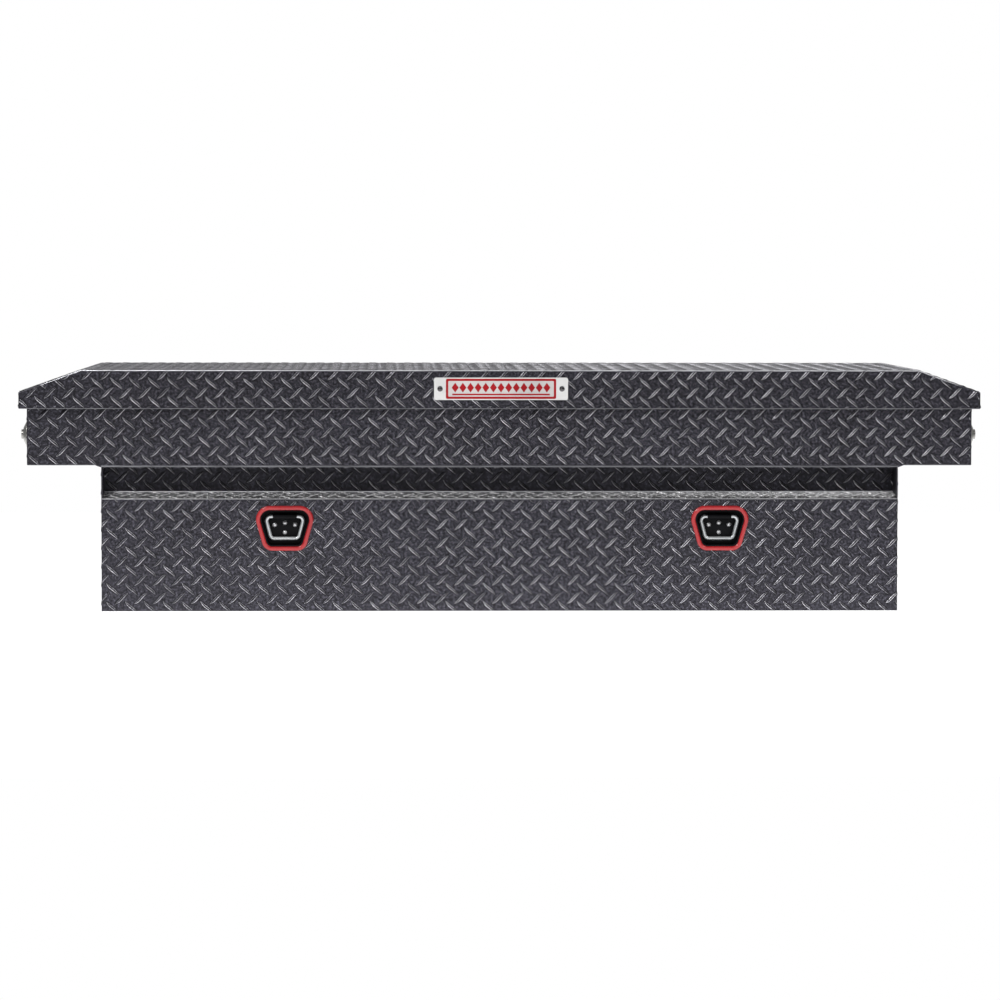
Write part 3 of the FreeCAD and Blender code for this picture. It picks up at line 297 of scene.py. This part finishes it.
LOOKS = {
    "gunmetal_plate": PLATE,
    "inner_sheet": metal(
        "mill_sheet", (0.34, 0.34, 0.35), (0.44, 0.44, 0.45), (0.30, 0.46), (1, 30, 30), 40
    ),
    "seal_rubber": soft("seal_rubber", (0.012, 0.012, 0.013), (0.022, 0.022, 0.023), (0.62, 0.80)),
    "hinge_steel": metal(
        "hinge_steel", (0.17, 0.17, 0.175), (0.24, 0.24, 0.245), (0.38, 0.52), (1, 40, 40), 60
    ),
    "pin_steel": metal("pin_steel", (0.46, 0.46, 0.47), (0.56, 0.56, 0.57), (0.20, 0.34)),
    "rivet_aluminium": metal("rivet_aluminium", (0.52, 0.52, 0.53), (0.66, 0.66, 0.67), (0.28, 0.42)),
    "zinc_steel": metal("zinc_steel", (0.42, 0.42, 0.40), (0.58, 0.57, 0.53), (0.26, 0.44), scale=90),
    "link_steel": metal(
        "link_steel", (0.40, 0.40, 0.39), (0.52, 0.51, 0.48), (0.24, 0.40), (1, 20, 20), 60
    ),
    "guide_plastic": soft("guide_plastic", (0.015, 0.015, 0.017), (0.028, 0.028, 0.030), (0.42, 0.58)),
    "lock_chrome": metal("lock_chrome", (0.13, 0.128, 0.12), (0.20, 0.197, 0.188), (0.28, 0.40), scale=220),
    "button_chrome": metal(
        "button_chrome", (0.16, 0.157, 0.15), (0.25, 0.246, 0.237), (0.28, 0.40), scale=220
    ),
    "tube_black": soft("tube_black", (0.008, 0.008, 0.009), (0.016, 0.016, 0.017), (0.26, 0.38), coat=0.4),
    "rod_chrome": metal("rod_chrome", (0.56, 0.56, 0.57), (0.66, 0.66, 0.67), (0.07, 0.14), scale=260),
    "bezel_red": soft(
        "bezel_red", (0.22, 0.007, 0.010), (0.29, 0.012, 0.014), (0.26, 0.38), specular=0.3, coat=0.25
    ),
    "pan_black": soft(
        "pan_black", (0.002, 0.002, 0.0025), (0.005, 0.005, 0.006), (0.34, 0.50), specular=0.05
    ),
    "ring_chrome": metal(
        "ring_chrome", (0.30, 0.31, 0.32), (0.44, 0.455, 0.465), (0.30, 0.42), scale=240, metallic=0.75
    ),
    "clip_rivet_steel": metal(
        "clip_rivet_steel", (0.30, 0.30, 0.31), (0.42, 0.42, 0.43), (0.30, 0.42), metallic=0.7
    ),
    "nameplate_silver": metal(
        "nameplate_silver", (0.46, 0.46, 0.455), (0.56, 0.56, 0.555), (0.36, 0.50), (1, 1, 26), 70, 0.35
    ),
    "nameplate_rivet_black": metal(
        "nameplate_rivet_dark", (0.05, 0.048, 0.05), (0.09, 0.087, 0.09), (0.14, 0.24)
    ),
}
CLIP_BLACK = soft("clip_black", (0.002, 0.002, 0.0025), (0.005, 0.005, 0.006), (0.34, 0.46), specular=0.05)
PRINT_FIELD = soft("print_field", (0.34, 0.32, 0.315), (0.44, 0.42, 0.41), (0.40, 0.52), 0.00005, 0.15)
PRINT_RED = soft("print_red", (0.19, 0.003, 0.006), (0.27, 0.006, 0.010), (0.40, 0.52), 0.00005, 0.15)

for part in frame["record"]["subparts"]:
    cad = nodes[part["node"]]
    look = CLIP_BLACK if part["node"].endswith("tiedown_clip") else LOOKS[part["material_slot"]]
    if not cad.material_slots:
        cad.data.materials.append(look)
    for holder in cad.material_slots:
        holder.material = look
    cad.data.shade_smooth()
    cad.data.set_sharp_from_angle(angle=math.radians(SHARP_CAD))

# The ledge over the bin takes a painted highlight, and the recess above it lies in the lid's shade, painted as
# a darker copy of the plate.
front_sheet = nodes["front_panel"].data
front_sheet.materials.append(LEDGE_HIGHLIGHT)
front_sheet.materials.append(SHADED)
for patch in front_sheet.polygons:
    spot = patch.center
    if patch.normal.z > FACING and LEDGE_BAND[0] < spot.z < LEDGE_BAND[1] and spot.y < LEDGE_LIMIT:
        patch.material_index = 1
    if patch.normal.y < -FACING and RECESS_BAND[0] < spot.z < RECESS_BAND[1] and spot.y > RECESS_LIMIT:
        patch.material_index = 2

# ---- tread-plate lugs -----------------------------------------------------------------------
LUG_HALF = 16.2 * MM
LUG_WIDE = 5.0 * MM
LUG_HIGH = 1.3 * MM
LUG_FOOT = 1.4 * MM  # how far the thin root, which carries painted shade, runs out from the lug
LUG_FILM = 0.05 * MM  # thickness of that root
LUG_SWAY = 0.7 * MM  # how far the lug's line bends from straight
LUG_PLAN = (2.4, 0.75)  # powers of the dome curves: its outline, height along it, section across it
LUG_PROFILE = (3.2, 0.6)
LUG_SECTION = (3.0, 0.7)
LUG_TIP = 0.10  # width of the tip, as a part of the full width
LUG_LINES = (-1.4, -1.0, -0.8, -0.5, 0.0, 0.5, 0.8, 1.0, 1.4)  # lines across it; past 1 is the root
LUG_WEAR_AND_HIGHLIGHT = (-0.3, 0.05, 1.0, 0.25, 0.02, 0.15, 0.75, 0.05, -0.3)  # wear and painted highlight on each line, brightest on the flanks
LUG_STEPS = 12
ROOT_FILM, ROOT_LONG = 0.2, 1.03  # the root's outer edge: its thickness and length against the lug's
HIGHLIGHT_FADE = 0.35  # how much the painted highlight drops from a lug's middle to its far tip
HIGHLIGHT_DRIFT = 0.25  # how much the falling lugs' painted highlight drops from one side of the plate to the other
# Random scale of each lug's wear and painted highlight.
WEAR_AND_HIGHLIGHT_SCATTER = (0.7, 1.25)
PITCH_U = 35.6 * MM
PITCH_V = 35.0 * MM
FALL = math.radians(-45)
RISE = math.radians(41)
FULL_SPAN = 1.8  # length over which the painted highlight drifts, in metres
CUT_REACH = 1e-7


def dome(t, powers):
    return max(1 - abs(t) ** powers[0], 0.0) ** powers[1]


def lug_shape():
    """One lug on a flat plate, its length along u, with a thin root around it and a closed underside."""
    verts, crest, faces = [], [], []
    for i in range(LUG_STEPS + 1):
        t = -1 + 2 * i / LUG_STEPS
        wide = LUG_WIDE / 2 * max(dome(t, LUG_PLAN), LUG_TIP)
        tall = LUG_HIGH * dome(t, LUG_PROFILE)
        sway = LUG_SWAY * math.sin(math.pi * t)
        for s, sheen_and_wear in zip(LUG_LINES, LUG_WEAR_AND_HIGHLIGHT):
            on_lug = abs(s) <= 1
            out = s * wide if on_lug else math.copysign(wide + LUG_FOOT, s)
            high = tall * dome(s, LUG_SECTION) + LUG_FILM * (1.0 if on_lug else ROOT_FILM)
            verts.append((LUG_HALF * t * (1.0 if on_lug else ROOT_LONG), sway + out, high))
            crest.append(sheen_and_wear * (1.0 - HIGHLIGHT_FADE * t) if sheen_and_wear > 0 else sheen_and_wear)
    row = len(LUG_LINES)
    for i in range(LUG_STEPS):
        for j in range(row - 1):
            a = i * row + j
            faces.append((a, a + row, a + row + 1, a + 1))
    base = [i * row for i in range(LUG_STEPS + 1)] + [LUG_STEPS * row + j for j in range(1, row)]
    base += [i * row + row - 1 for i in range(LUG_STEPS - 1, -1, -1)] + list(range(row - 2, 0, -1))
    faces.append(tuple(base))
    return np.array(verts), np.array(crest), faces


LUG_VERTS, LUG_CREST, LUG_FACES = lug_shape()


def sides_of(outline):
    """Corner pairs of a convex outline, and its winding: 1 with the inside on the left, else -1."""
    ring = np.array(outline)
    pairs = list(zip(ring, np.roll(ring, -1, axis=0)))
    area = sum(a[0] * b[1] - b[0] * a[1] for a, b in pairs)
    return pairs, 1 if area > 0 else -1


def inside(outline, points, margin=0.0):
    """Whether points lie inside a convex outline by a margin."""
    pairs, winding = sides_of(outline)
    good = np.ones(len(points), bool)
    for a, b in pairs:
        line = (b - a) / np.linalg.norm(b - a)
        left = np.array((-line[1], line[0])) * winding
        good &= (points - a) @ left > margin
    return good


def slice_along(bm, outline, clear):
    """Cut a mesh along the sides of a convex outline; clear drops the outside and closes the ends."""
    pairs, winding = sides_of(outline)
    for a, b in pairs:
        way = Vector((b[1] - a[1], a[0] - b[0], 0)).normalized() * winding
        found = bmesh.ops.bisect_plane(
            bm, geom=[*bm.verts, *bm.edges, *bm.faces], plane_co=(*a, 0), plane_no=way,
            clear_outer=clear, dist=CUT_REACH
        )
        if clear:
            cuts = [e for e in found["geom_cut"] if isinstance(e, bmesh.types.BMEdge)]
            bmesh.ops.edgeloop_fill(bm, edges=[e for e in cuts if len(e.link_faces) == 1])


def lay_lugs(places, quiet):
    """Flat mesh with a lug at each (u, v, angle); quiet dims the wear and painted highlight of the rising ones.
    """
    verts, faces, crest = [], [], []
    chance = np.random.default_rng(len(places))
    x, y, z = LUG_VERTS.T
    for n, (u, v, angle) in enumerate(places):
        c, s = math.cos(angle), math.sin(angle)
        verts.append(np.column_stack((u + c * x - s * y, v + s * x + c * y, z)))
        faces += [tuple(n * len(LUG_VERTS) + k for k in f) for f in LUG_FACES]
        # Painted light: the falling lugs' highlight drops and the rising ones' grows from left to right.
        side = min(max(0.5 + u / FULL_SPAN, 0.0), 1.0)
        sheen_and_wear = 1.0 - HIGHLIGHT_DRIFT * side if angle < 0 else quiet + (1.0 - quiet) * side
        sheen_and_wear *= chance.uniform(*WEAR_AND_HIGHLIGHT_SCATTER)
        crest.append(np.where(LUG_CREST > 0, LUG_CREST * sheen_and_wear, LUG_CREST))
    mesh = bpy.data.meshes.new("lugs")
    if places:
        mesh.from_pydata(np.concatenate(verts).tolist(), [], faces)
        layer = mesh.attributes.new("crest", "FLOAT", "POINT")
        layer.data.foreach_set("value", np.concatenate(crest))
    return mesh


def lug_places(outline, start, holes):
    """(u, v, angle) of the lugs that lie whole on an outline, and of those that need cutting."""
    low, high = np.min(outline, axis=0), np.max(outline, axis=0)
    corners = np.array([(sx, sy) for sx in (-1, 1) for sy in (-1, 1)]) * (LUG_HALF, LUG_WIDE)
    whole, cut = [], []
    for angle, shift in ((FALL, 0.0), (RISE, 0.5)):
        first_u = math.ceil((low[0] - start[0]) / PITCH_U - shift - 1)
        last_u = math.floor((high[0] - start[0]) / PITCH_U - shift + 1)
        first_v = math.ceil((low[1] - start[1]) / PITCH_V - shift - 1)
        last_v = math.floor((high[1] - start[1]) / PITCH_V - shift + 1)
        turn = np.array(((math.cos(angle), math.sin(angle)), (-math.sin(angle), math.cos(angle))))
        for i in range(first_u, last_u + 1):
            for j in range(first_v, last_v + 1):
                spot = (start[0] + (i + shift) * PITCH_U, start[1] + (j + shift) * PITCH_V)
                if not inside(outline, np.array([spot]), -LUG_HALF)[0]:
                    continue
                ring = corners @ turn + spot
                reach = np.vstack((ring, [spot]))
                clear = inside(outline, ring).all()
                clear = clear and not any(inside(hole, reach, -LUG_HALF).any() for hole in holes)
                (whole if clear else cut).append((*spot, angle))
    return whole, cut


def lug_field(name, body, origin, u_way, v_way, outline, start, holes=(), look=LUG, quiet=0.7):
    """Raised lugs over a convex outline on a plate.

    origin, u_way and v_way place the plate's outer face, with u to the right and v up when it is
    seen from outside.  start is the (u, v) of one falling lug.  Lugs are cut at the outline and at
    the convex holes.
    """
    u_way, v_way = Vector(u_way).normalized(), Vector(v_way).normalized()
    whole, cut = lug_places(outline, start, holes)
    bm = bmesh.new()
    bm.from_mesh(lay_lugs(cut, quiet))
    slice_along(bm, outline, True)
    for hole in holes:
        slice_along(bm, hole, False)
        patches = list(bm.faces)
        if patches:
            hits = inside(hole, np.array([patch.calc_center_median()[:2] for patch in patches]))
            gone = [patch for patch, hit in zip(patches, hits) if hit]
            bmesh.ops.delete(bm, geom=gone, context="FACES")
    bm.from_mesh(lay_lugs(whole, quiet))
    bm.normal_update()
    mesh = bpy.data.meshes.new(name)
    bm.to_mesh(mesh)
    bm.free()
    flat = np.empty(len(mesh.vertices) * 3)
    mesh.vertices.foreach_get("co", flat)
    base = np.array([list(u_way), list(v_way), list(u_way.cross(v_way))])
    mesh.vertices.foreach_set("co", (flat.reshape(-1, 3) @ base + np.array(Vector(origin))).ravel())
    mesh.update()
    return add_piece(name, mesh, look, body, SHARP_LUG)


# ---- outlines -------------------------------------------------------------------------------
def rectangle(u0, v0, u1, v1):
    return [(u0, v0), (u1, v0), (u1, v1), (u0, v1)]


def circle(u, v, radius, steps=20):
    turns = [2 * math.pi * k / steps for k in range(steps)]
    return [(u + radius * math.cos(t), v + radius * math.sin(t)) for t in turns]


def rounded(corners, radii, steps=4):
    """A convex outline, its inside on the left, with the corners rounded."""
    points = []
    for n, (corner, radius) in enumerate(zip(corners, radii)):
        corner = Vector(corner)
        before = (corner - Vector(corners[n - 1])).normalized()
        after = (Vector(corners[(n + 1) % len(corners)]) - corner).normalized()
        turn = math.acos(before.dot(after))
        middle = corner - before * radius * math.tan(turn / 2) + Vector((-before.y, before.x)) * radius
        outward = Vector((before.y, -before.x)) * radius
        for k in range(steps + 1):
            c, s = math.cos(turn * k / steps), math.sin(turn * k / steps)
            points.append((middle.x + c * outward.x - s * outward.y, middle.y + s * outward.x + c * outward.y))
    return points


def bezel_outline(side):
    """Middle of the bezel's band, in (x, z)."""
    low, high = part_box(f"{side}_tiedown_bezel")
    x = (low.x + high.x) / 2
    foot, head = low.z + BEZEL_SET, high.z - BEZEL_SET
    corners = [(x - BEZEL_LOW, foot), (x + BEZEL_LOW, foot), (x + BEZEL_HIGH, head), (x - BEZEL_HIGH, head)]
    return rounded(corners, BEZEL_RADII)


def lid_outline(low):
    """The lid's front or back face from a height up, in (u, z)."""
    side, shoulder, top = lid_half - SET, SKIRT_Z - SKIRT_SET, lid_high.z - SET
    return [(-side, low), (side, low), (side, shoulder), (FLAT_HALF, top), (-FLAT_HALF, top), (-side, shoulder)]


# ---- lugs on the lid ------------------------------------------------------------------------
lug_field("lugs_lid_front", "lid", (0, lid_low.y, 0), X, Z, lid_outline(lid_low.z + MM),
          start=(-795.0 * MM, 431.2 * MM))
lug_field("lugs_lid_top", "lid", (0, lid_low.y, lid_high.z), X, Y,
          rectangle(-FLAT_HALF + MM, SET, FLAT_HALF - MM, lid_deep - SET),
          start=(-777.0 * MM, 10.0 * MM), quiet=0.25)
lug_field("lugs_lid_rear", "lid", (0, lid_high.y, 0), -X, Z,
          lid_outline(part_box("hinge_leaf_lid")[1].z + LEAF_SET), start=(-790.0 * MM, 428.0 * MM))
for side, way in SIDES:
    near = lid_low.y if way > 0 else lid_high.y
    up = Vector((-way * bevel_run, 0, bevel_rise))
    lug_field(f"lugs_lid_bevel_{side}", "lid", (way * lid_half, near, SKIRT_Z), Y * way, up,
              rectangle(SET, SET, lid_deep - SET, bevel_long - MM), start=(18 * MM, 14 * MM))
    lug_field(f"lugs_lid_end_{side}", "lid", (way * lid_half, near, 0), Y * way, Z,
              rectangle(SET, lid_low.z + MM, lid_deep - SET, SKIRT_Z - MM),
              start=(18 * MM, lid_low.z + 16 * MM))

# ---- lugs on the box ------------------------------------------------------------------------
lug_field("lugs_rail_front", "box", (0, front, 0), X, Z,
          rectangle(-rail + SET, SHELF_Z + 0.8 * MM, rail - SET, rim - SET), start=(-844.5 * MM, 355.8 * MM))
# The recess lugs carry painted shade from the darker copy.
lug_field("lugs_recess", "box", (0, RECESS_Y, 0), X, Z,
          rectangle(-bin_end + gauge, RECESS_Z + 0.4 * MM, bin_end - gauge, FOLD_Z - 0.6 * MM),
          start=(-701.0 * MM, 268.0 * MM), look=SHADED_LUG)
# The ledge and its lugs carry a painted highlight.
ledge_way = Vector((0, LEDGE_DEEP, RECESS_Z - BIN_Z))
lug_field("lugs_ledge", "box", (0, front, BIN_Z), X, ledge_way,
          rectangle(-bin_end + gauge, SET, bin_end - gauge, ledge_way.length - MM),
          start=(-726.0 * MM, 10.0 * MM), look=LEDGE_HIGHLIGHT_LUG)
lug_field("lugs_fold", "box", (0, RECESS_Y, FOLD_Z), X, -Y,
          rectangle(-bin_end + gauge, 0.6 * MM, bin_end - gauge, LEDGE_DEEP - SET),
          start=(-720.0 * MM, 12.0 * MM))
lug_field("lugs_bin_front", "box", (0, front, 0), X, Z,
          rectangle(-bin_end + MM, 0.8 * MM, bin_end - MM, BIN_Z - SET), start=(-733.4 * MM, 181.9 * MM),
          holes=[bezel_outline(side) for side, way in SIDES])
lug_field("lugs_rail_rear", "box", (0, rear, 0), -X, Z,
          rectangle(-rail + MM, SHELF_Z + MM, rail - MM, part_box("hinge_leaf_body")[0].z - LEAF_SET),
          start=(-860.0 * MM, 300.0 * MM))
lug_field("lugs_bin_rear", "box", (0, rear, 0), -X, Z,
          rectangle(-bin_end + MM, MM, bin_end - MM, SHELF_Z + 0.5 * MM), start=(-860.0 * MM, 300.0 * MM))
for side, way in SIDES:
    near = front if way > 0 else rear
    lug_field(f"lugs_end_low_{side}", "box", (way * bin_end, near, 0), Y * way, Z,
              rectangle(2 * gauge, MM, deep - 2 * gauge, SHELF_Z - SET), start=(22 * MM, 12 * MM))
    lock_low, lock_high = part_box(f"{side}_lock_housing")
    lock_u, lock_v = way * ((lock_low.y + lock_high.y) / 2 - near), (lock_low.z + lock_high.z) / 2
    lug_field(f"lugs_end_high_{side}", "box", (way * rail, near, 0), Y * way, Z,
              rectangle(2 * gauge, SHELF_Z + SET, deep - 2 * gauge, rim - SET), start=(22 * MM, 292 * MM),
              holes=[circle(lock_u, lock_v, LOCK_CLEAR)])
    lug_field(f"lugs_shelf_{side}", "box", (bin_end if way > 0 else -rail, rear, SHELF_Z), X, -Y,
              rectangle(SET, 2 * gauge, rail - bin_end - SET, deep - 2 * gauge), start=(20 * MM, 20 * MM))


# ---- painted edge highlights ----------------------------------------------------------------
def edge_run(name, body, points, radius, look=EDGE, sides=8):
    """Slim round bead laid along an open line of points; its lighter metal is a painted edge highlight."""
    points = [Vector(p) for p in points]
    last = len(points) - 1
    verts, faces = [], []
    for n, point in enumerate(points):
        back = point - points[n - 1] if n else points[1] - points[0]
        ahead = points[n + 1] - point if n < last else back
        way = (back.normalized() + ahead.normalized()).normalized()
        one = Z.cross(way).normalized()
        two = way.cross(one)
        for k in range(sides):
            turn = 2 * math.pi * k / sides
            verts.append(point + radius * (math.cos(turn) * one + math.sin(turn) * two))
    for n in range(last):
        for k in range(sides):
            a, b = n * sides + k, n * sides + (k + 1) % sides
            faces.append((a, b, b + sides, a + sides))
    faces.append(tuple(reversed(range(sides))))
    faces.append(tuple(range(last * sides, (last + 1) * sides)))
    return build_piece(name, verts, faces, look, body, SHARP_BEAD)


def bin_edge(name, inset, y, z, radius, look):
    """A bead over the bin's length."""
    edge_run(name, "box", [(-bin_end + inset, y, z), (bin_end - inset, y, z)], radius, look)


half = gauge / 2
skirt_front, skirt_back = lid_low.y + half, lid_high.y - 4 * MM
skirt_line = [(-1, skirt_back), (-1, skirt_front), (1, skirt_front), (1, skirt_back)]
edge_run("edge_lid_skirt", "lid", [(way * (lid_half - half), y, lid_low.z) for way, y in skirt_line], 1.15 * MM)
for side, way in SIDES:
    shelf_line = [(way * x, front + half, SHELF_Z) for x in (bin_end + RAIL_BEND, rail - MM)]
    edge_run(f"edge_rail_{side}", "box", shelf_line, 1.1 * MM)
bin_edge("edge_hem", 0, front + 0.8 * MM, FOLD_Z + 2.4 * MM, 1.8 * MM, HEM)
bin_edge("edge_ledge_front", MM, front + 0.9 * MM, BIN_Z - 0.5 * MM, 0.85 * MM, DIM_EDGE_HIGHLIGHT)
bin_edge("edge_ledge_rear", MM, RECESS_Y - 0.5 * MM, RECESS_Z + 0.6 * MM, 1.1 * MM, BRIGHT_EDGE_HIGHLIGHT)

SINK = 0.88 * MM  # how far the bead on the lid's crease lies inside the corner
shoulder = (lid_half - 3 * MM, SKIRT_Z - MM)
crease_line = [(-shoulder[0], shoulder[1]), (-FLAT_HALF, lid_high.z), (FLAT_HALF, lid_high.z), shoulder]
edge_run("edge_lid_crease", "lid", [(x, lid_low.y + SINK, z - SINK) for x, z in crease_line], 0.75 * MM, BRIGHT_EDGE_HIGHLIGHT)

# ---- nameplate print ------------------------------------------------------------------------
PRINT_PROUD, FIELD_PROUD, PRINT_SUNK = 0.12 * MM, 0.05 * MM, 0.05 * MM
DIAMONDS = 13
DIAMOND_STEP, DIAMOND_LIFT = 14.4 * MM, 2.2 * MM
DIAMOND_HALF, DIAMOND_TALL = 6.6 * MM, 9.2 * MM
BAR_HALF, BAR_LOW, BAR_HIGH = 92 * MM, -12.2 * MM, -9.2 * MM
plate_low, plate_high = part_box("nameplate")
plate_x, plate_z = (plate_low.x + plate_high.x) / 2, (plate_low.z + plate_high.z) / 2


def printed(name, outline, hole=None, proud=PRINT_PROUD, look=PRINT_RED):
    """Thin printed shape on the nameplate's face, from (x, z) outlines about the plate's middle."""
    rings = [outline] + ([hole] if hole else [])
    spots = [(plate_x + x, plate_z + z) for ring in rings for x, z in ring]
    verts = [(x, plate_low.y - proud, z) for x, z in spots]
    verts += [(x, plate_low.y + PRINT_SUNK, z) for x, z in spots]
    count = len(outline)
    if hole:
        faces = [(k, (k + 1) % count, count + (k + 1) % count, count + k) for k in range(count)]
    else:
        faces = [tuple(range(count))]
    base = 0
    for ring in rings:
        for k in range(len(ring)):
            a, b = base + k, base + (k + 1) % len(ring)
            faces.append((a, len(spots) + a, len(spots) + b, b))
        base += len(ring)
    return build_piece(name, verts, faces, look, "lid")


def round_box(half_x, half_z, radius, steps=5):
    points = []
    for sx, sz, start in ((1, 1, 0), (-1, 1, 90), (-1, -1, 180), (1, -1, 270)):
        for k in range(steps + 1):
            turn = math.radians(start + 90 * k / steps)
            points.append((sx * (half_x - radius) + radius * math.cos(turn),
                           sz * (half_z - radius) + radius * math.sin(turn)))
    return points


printed("nameplate_field", round_box(101 * MM, 16 * MM, 2 * MM), proud=FIELD_PROUD, look=PRINT_FIELD)
printed("nameplate_border", round_box(104 * MM, 19 * MM, 3 * MM), round_box(99.6 * MM, 14.8 * MM, 1.5 * MM))
for n in range(DIAMONDS):
    x, z = (n - DIAMONDS // 2) * DIAMOND_STEP, DIAMOND_LIFT
    printed(f"nameplate_diamond_{n:02d}",
            [(x - DIAMOND_HALF, z), (x, z - DIAMOND_TALL), (x + DIAMOND_HALF, z), (x, z + DIAMOND_TALL)])
printed("nameplate_bar", rectangle(-BAR_HALF, BAR_LOW, BAR_HALF, BAR_HIGH))

# ---- stage ----------------------------------------------------------------------------------
WHITE = (1, 1, 1, 1)
FLOOR_REACH, FLOOR_DROP = 2.4, 0.5 * MM
FLOOR_SEEN, SKY_SEEN = 0.9, 1.0  # glow that the camera sees
FLOOR_GLOW, FLOOR_RUN = (0.55, 2.3), (-1.2, -0.35)  # glow that the part sees, and where along y
SKY_GLOW, SKY_RUN = (0.12, 0.52), (-0.25, 0.6)


def by_ray(tree, others, camera_level, socket):
    """Feed a socket one level for camera rays and another for the rest."""
    ray = tree.nodes.new("ShaderNodeLightPath")
    level = tree.nodes.new("ShaderNodeMix")
    tree.links.new(ray.outputs["Is Camera Ray"], level.inputs["Factor"])
    tree.links.new(others, level.inputs["A"])
    level.inputs["B"].default_value = camera_level
    tree.links.new(level.outputs["Result"], socket)


floor_material, tree, bsdf = shader("floor_pale", Roughness=0.9, Specular_IOR_Level=0.1)
bsdf.inputs["Base Color"].default_value = (0.5, 0.5, 0.5, 1)
bsdf.inputs["Emission Color"].default_value = WHITE
glow = spread(tree, across(tree, *FLOOR_RUN, axis="Y"), *FLOOR_GLOW, 0, 1)
by_ray(tree, glow, FLOOR_SEEN, bsdf.inputs["Emission Strength"])
floor = bpy.data.meshes.new("floor")
corners = rectangle(-FLOOR_REACH, -FLOOR_REACH, FLOOR_REACH, FLOOR_REACH)
floor.from_pydata([(x, y, 0) for x, y in corners], [], [(0, 1, 2, 3)])
floor.materials.append(floor_material)
floor_piece = bpy.data.objects.new("floor", floor)
floor_piece.location.z = -FLOOR_DROP
scene.collection.objects.link(floor_piece)

world = bpy.data.worlds.new("studio")
world.use_nodes = True
tree = world.node_tree
background = tree.nodes["Background"]
background.inputs["Color"].default_value = WHITE
sky = spread(tree, axis_value(tree, "Y", "Generated"), *SKY_GLOW, *SKY_RUN)
by_ray(tree, sky, SKY_SEEN, background.inputs["Strength"])
scene.world = world
scene.view_settings.view_transform = "Standard"


def soft_light(name, place, aim, size, watts):
    data = bpy.data.lights.new(name, "AREA")
    data.shape = "RECTANGLE"
    data.size, data.size_y = size
    data.energy = watts
    lamp = bpy.data.objects.new(name, data)
    lamp.location = place
    lamp.rotation_euler = (Vector(aim) - Vector(place)).to_track_quat("-Z", "Y").to_euler()
    lamp.visible_camera = False
    scene.collection.objects.link(lamp)


soft_light("key", (-2.3, -3.4, 3.3), (0, -0.1, 0.2), (1.3, 0.7), 185)
soft_light("fill", (2.8, -3.0, 3.2), (0, -0.1, 0.2), (1.6, 0.8), 80)
soft_light("top", (0.2, 1.6, 3.4), (0, 0, 0.3), (3.4, 1.0), 42)
soft_light("low", (0, -2.4, 0.12), (0, -0.25, 0.05), (3.6, 0.3), 9)

# ---- camera ---------------------------------------------------------------------------------
CAMERA_PLACE = (-0.2140, -6.8289, 0.6471)  # metres
CAMERA_DIP, CAMERA_YAW, CAMERA_ROLL = 2.326, -1.366, 0.069  # degrees
CAMERA_SHIFT = (0.0294, -0.0893)
CAMERA_LENS, CAMERA_SENSOR, CAMERA_FAR = 125.6, 36.0, 200  # mm, mm, m
camera = bpy.data.objects.new("camera", bpy.data.cameras.new("camera"))
camera.data.lens = CAMERA_LENS
camera.data.sensor_width = CAMERA_SENSOR
camera.data.clip_end = CAMERA_FAR
camera.data.shift_x, camera.data.shift_y = CAMERA_SHIFT
aim = Euler((math.radians(90 - CAMERA_DIP), 0, math.radians(CAMERA_YAW))).to_matrix().to_4x4()
camera.matrix_world = (
    Matrix.Translation(CAMERA_PLACE) @ aim @ Matrix.Rotation(math.radians(CAMERA_ROLL), 4, "Z")
)
scene.collection.objects.link(camera)
scene.camera = camera
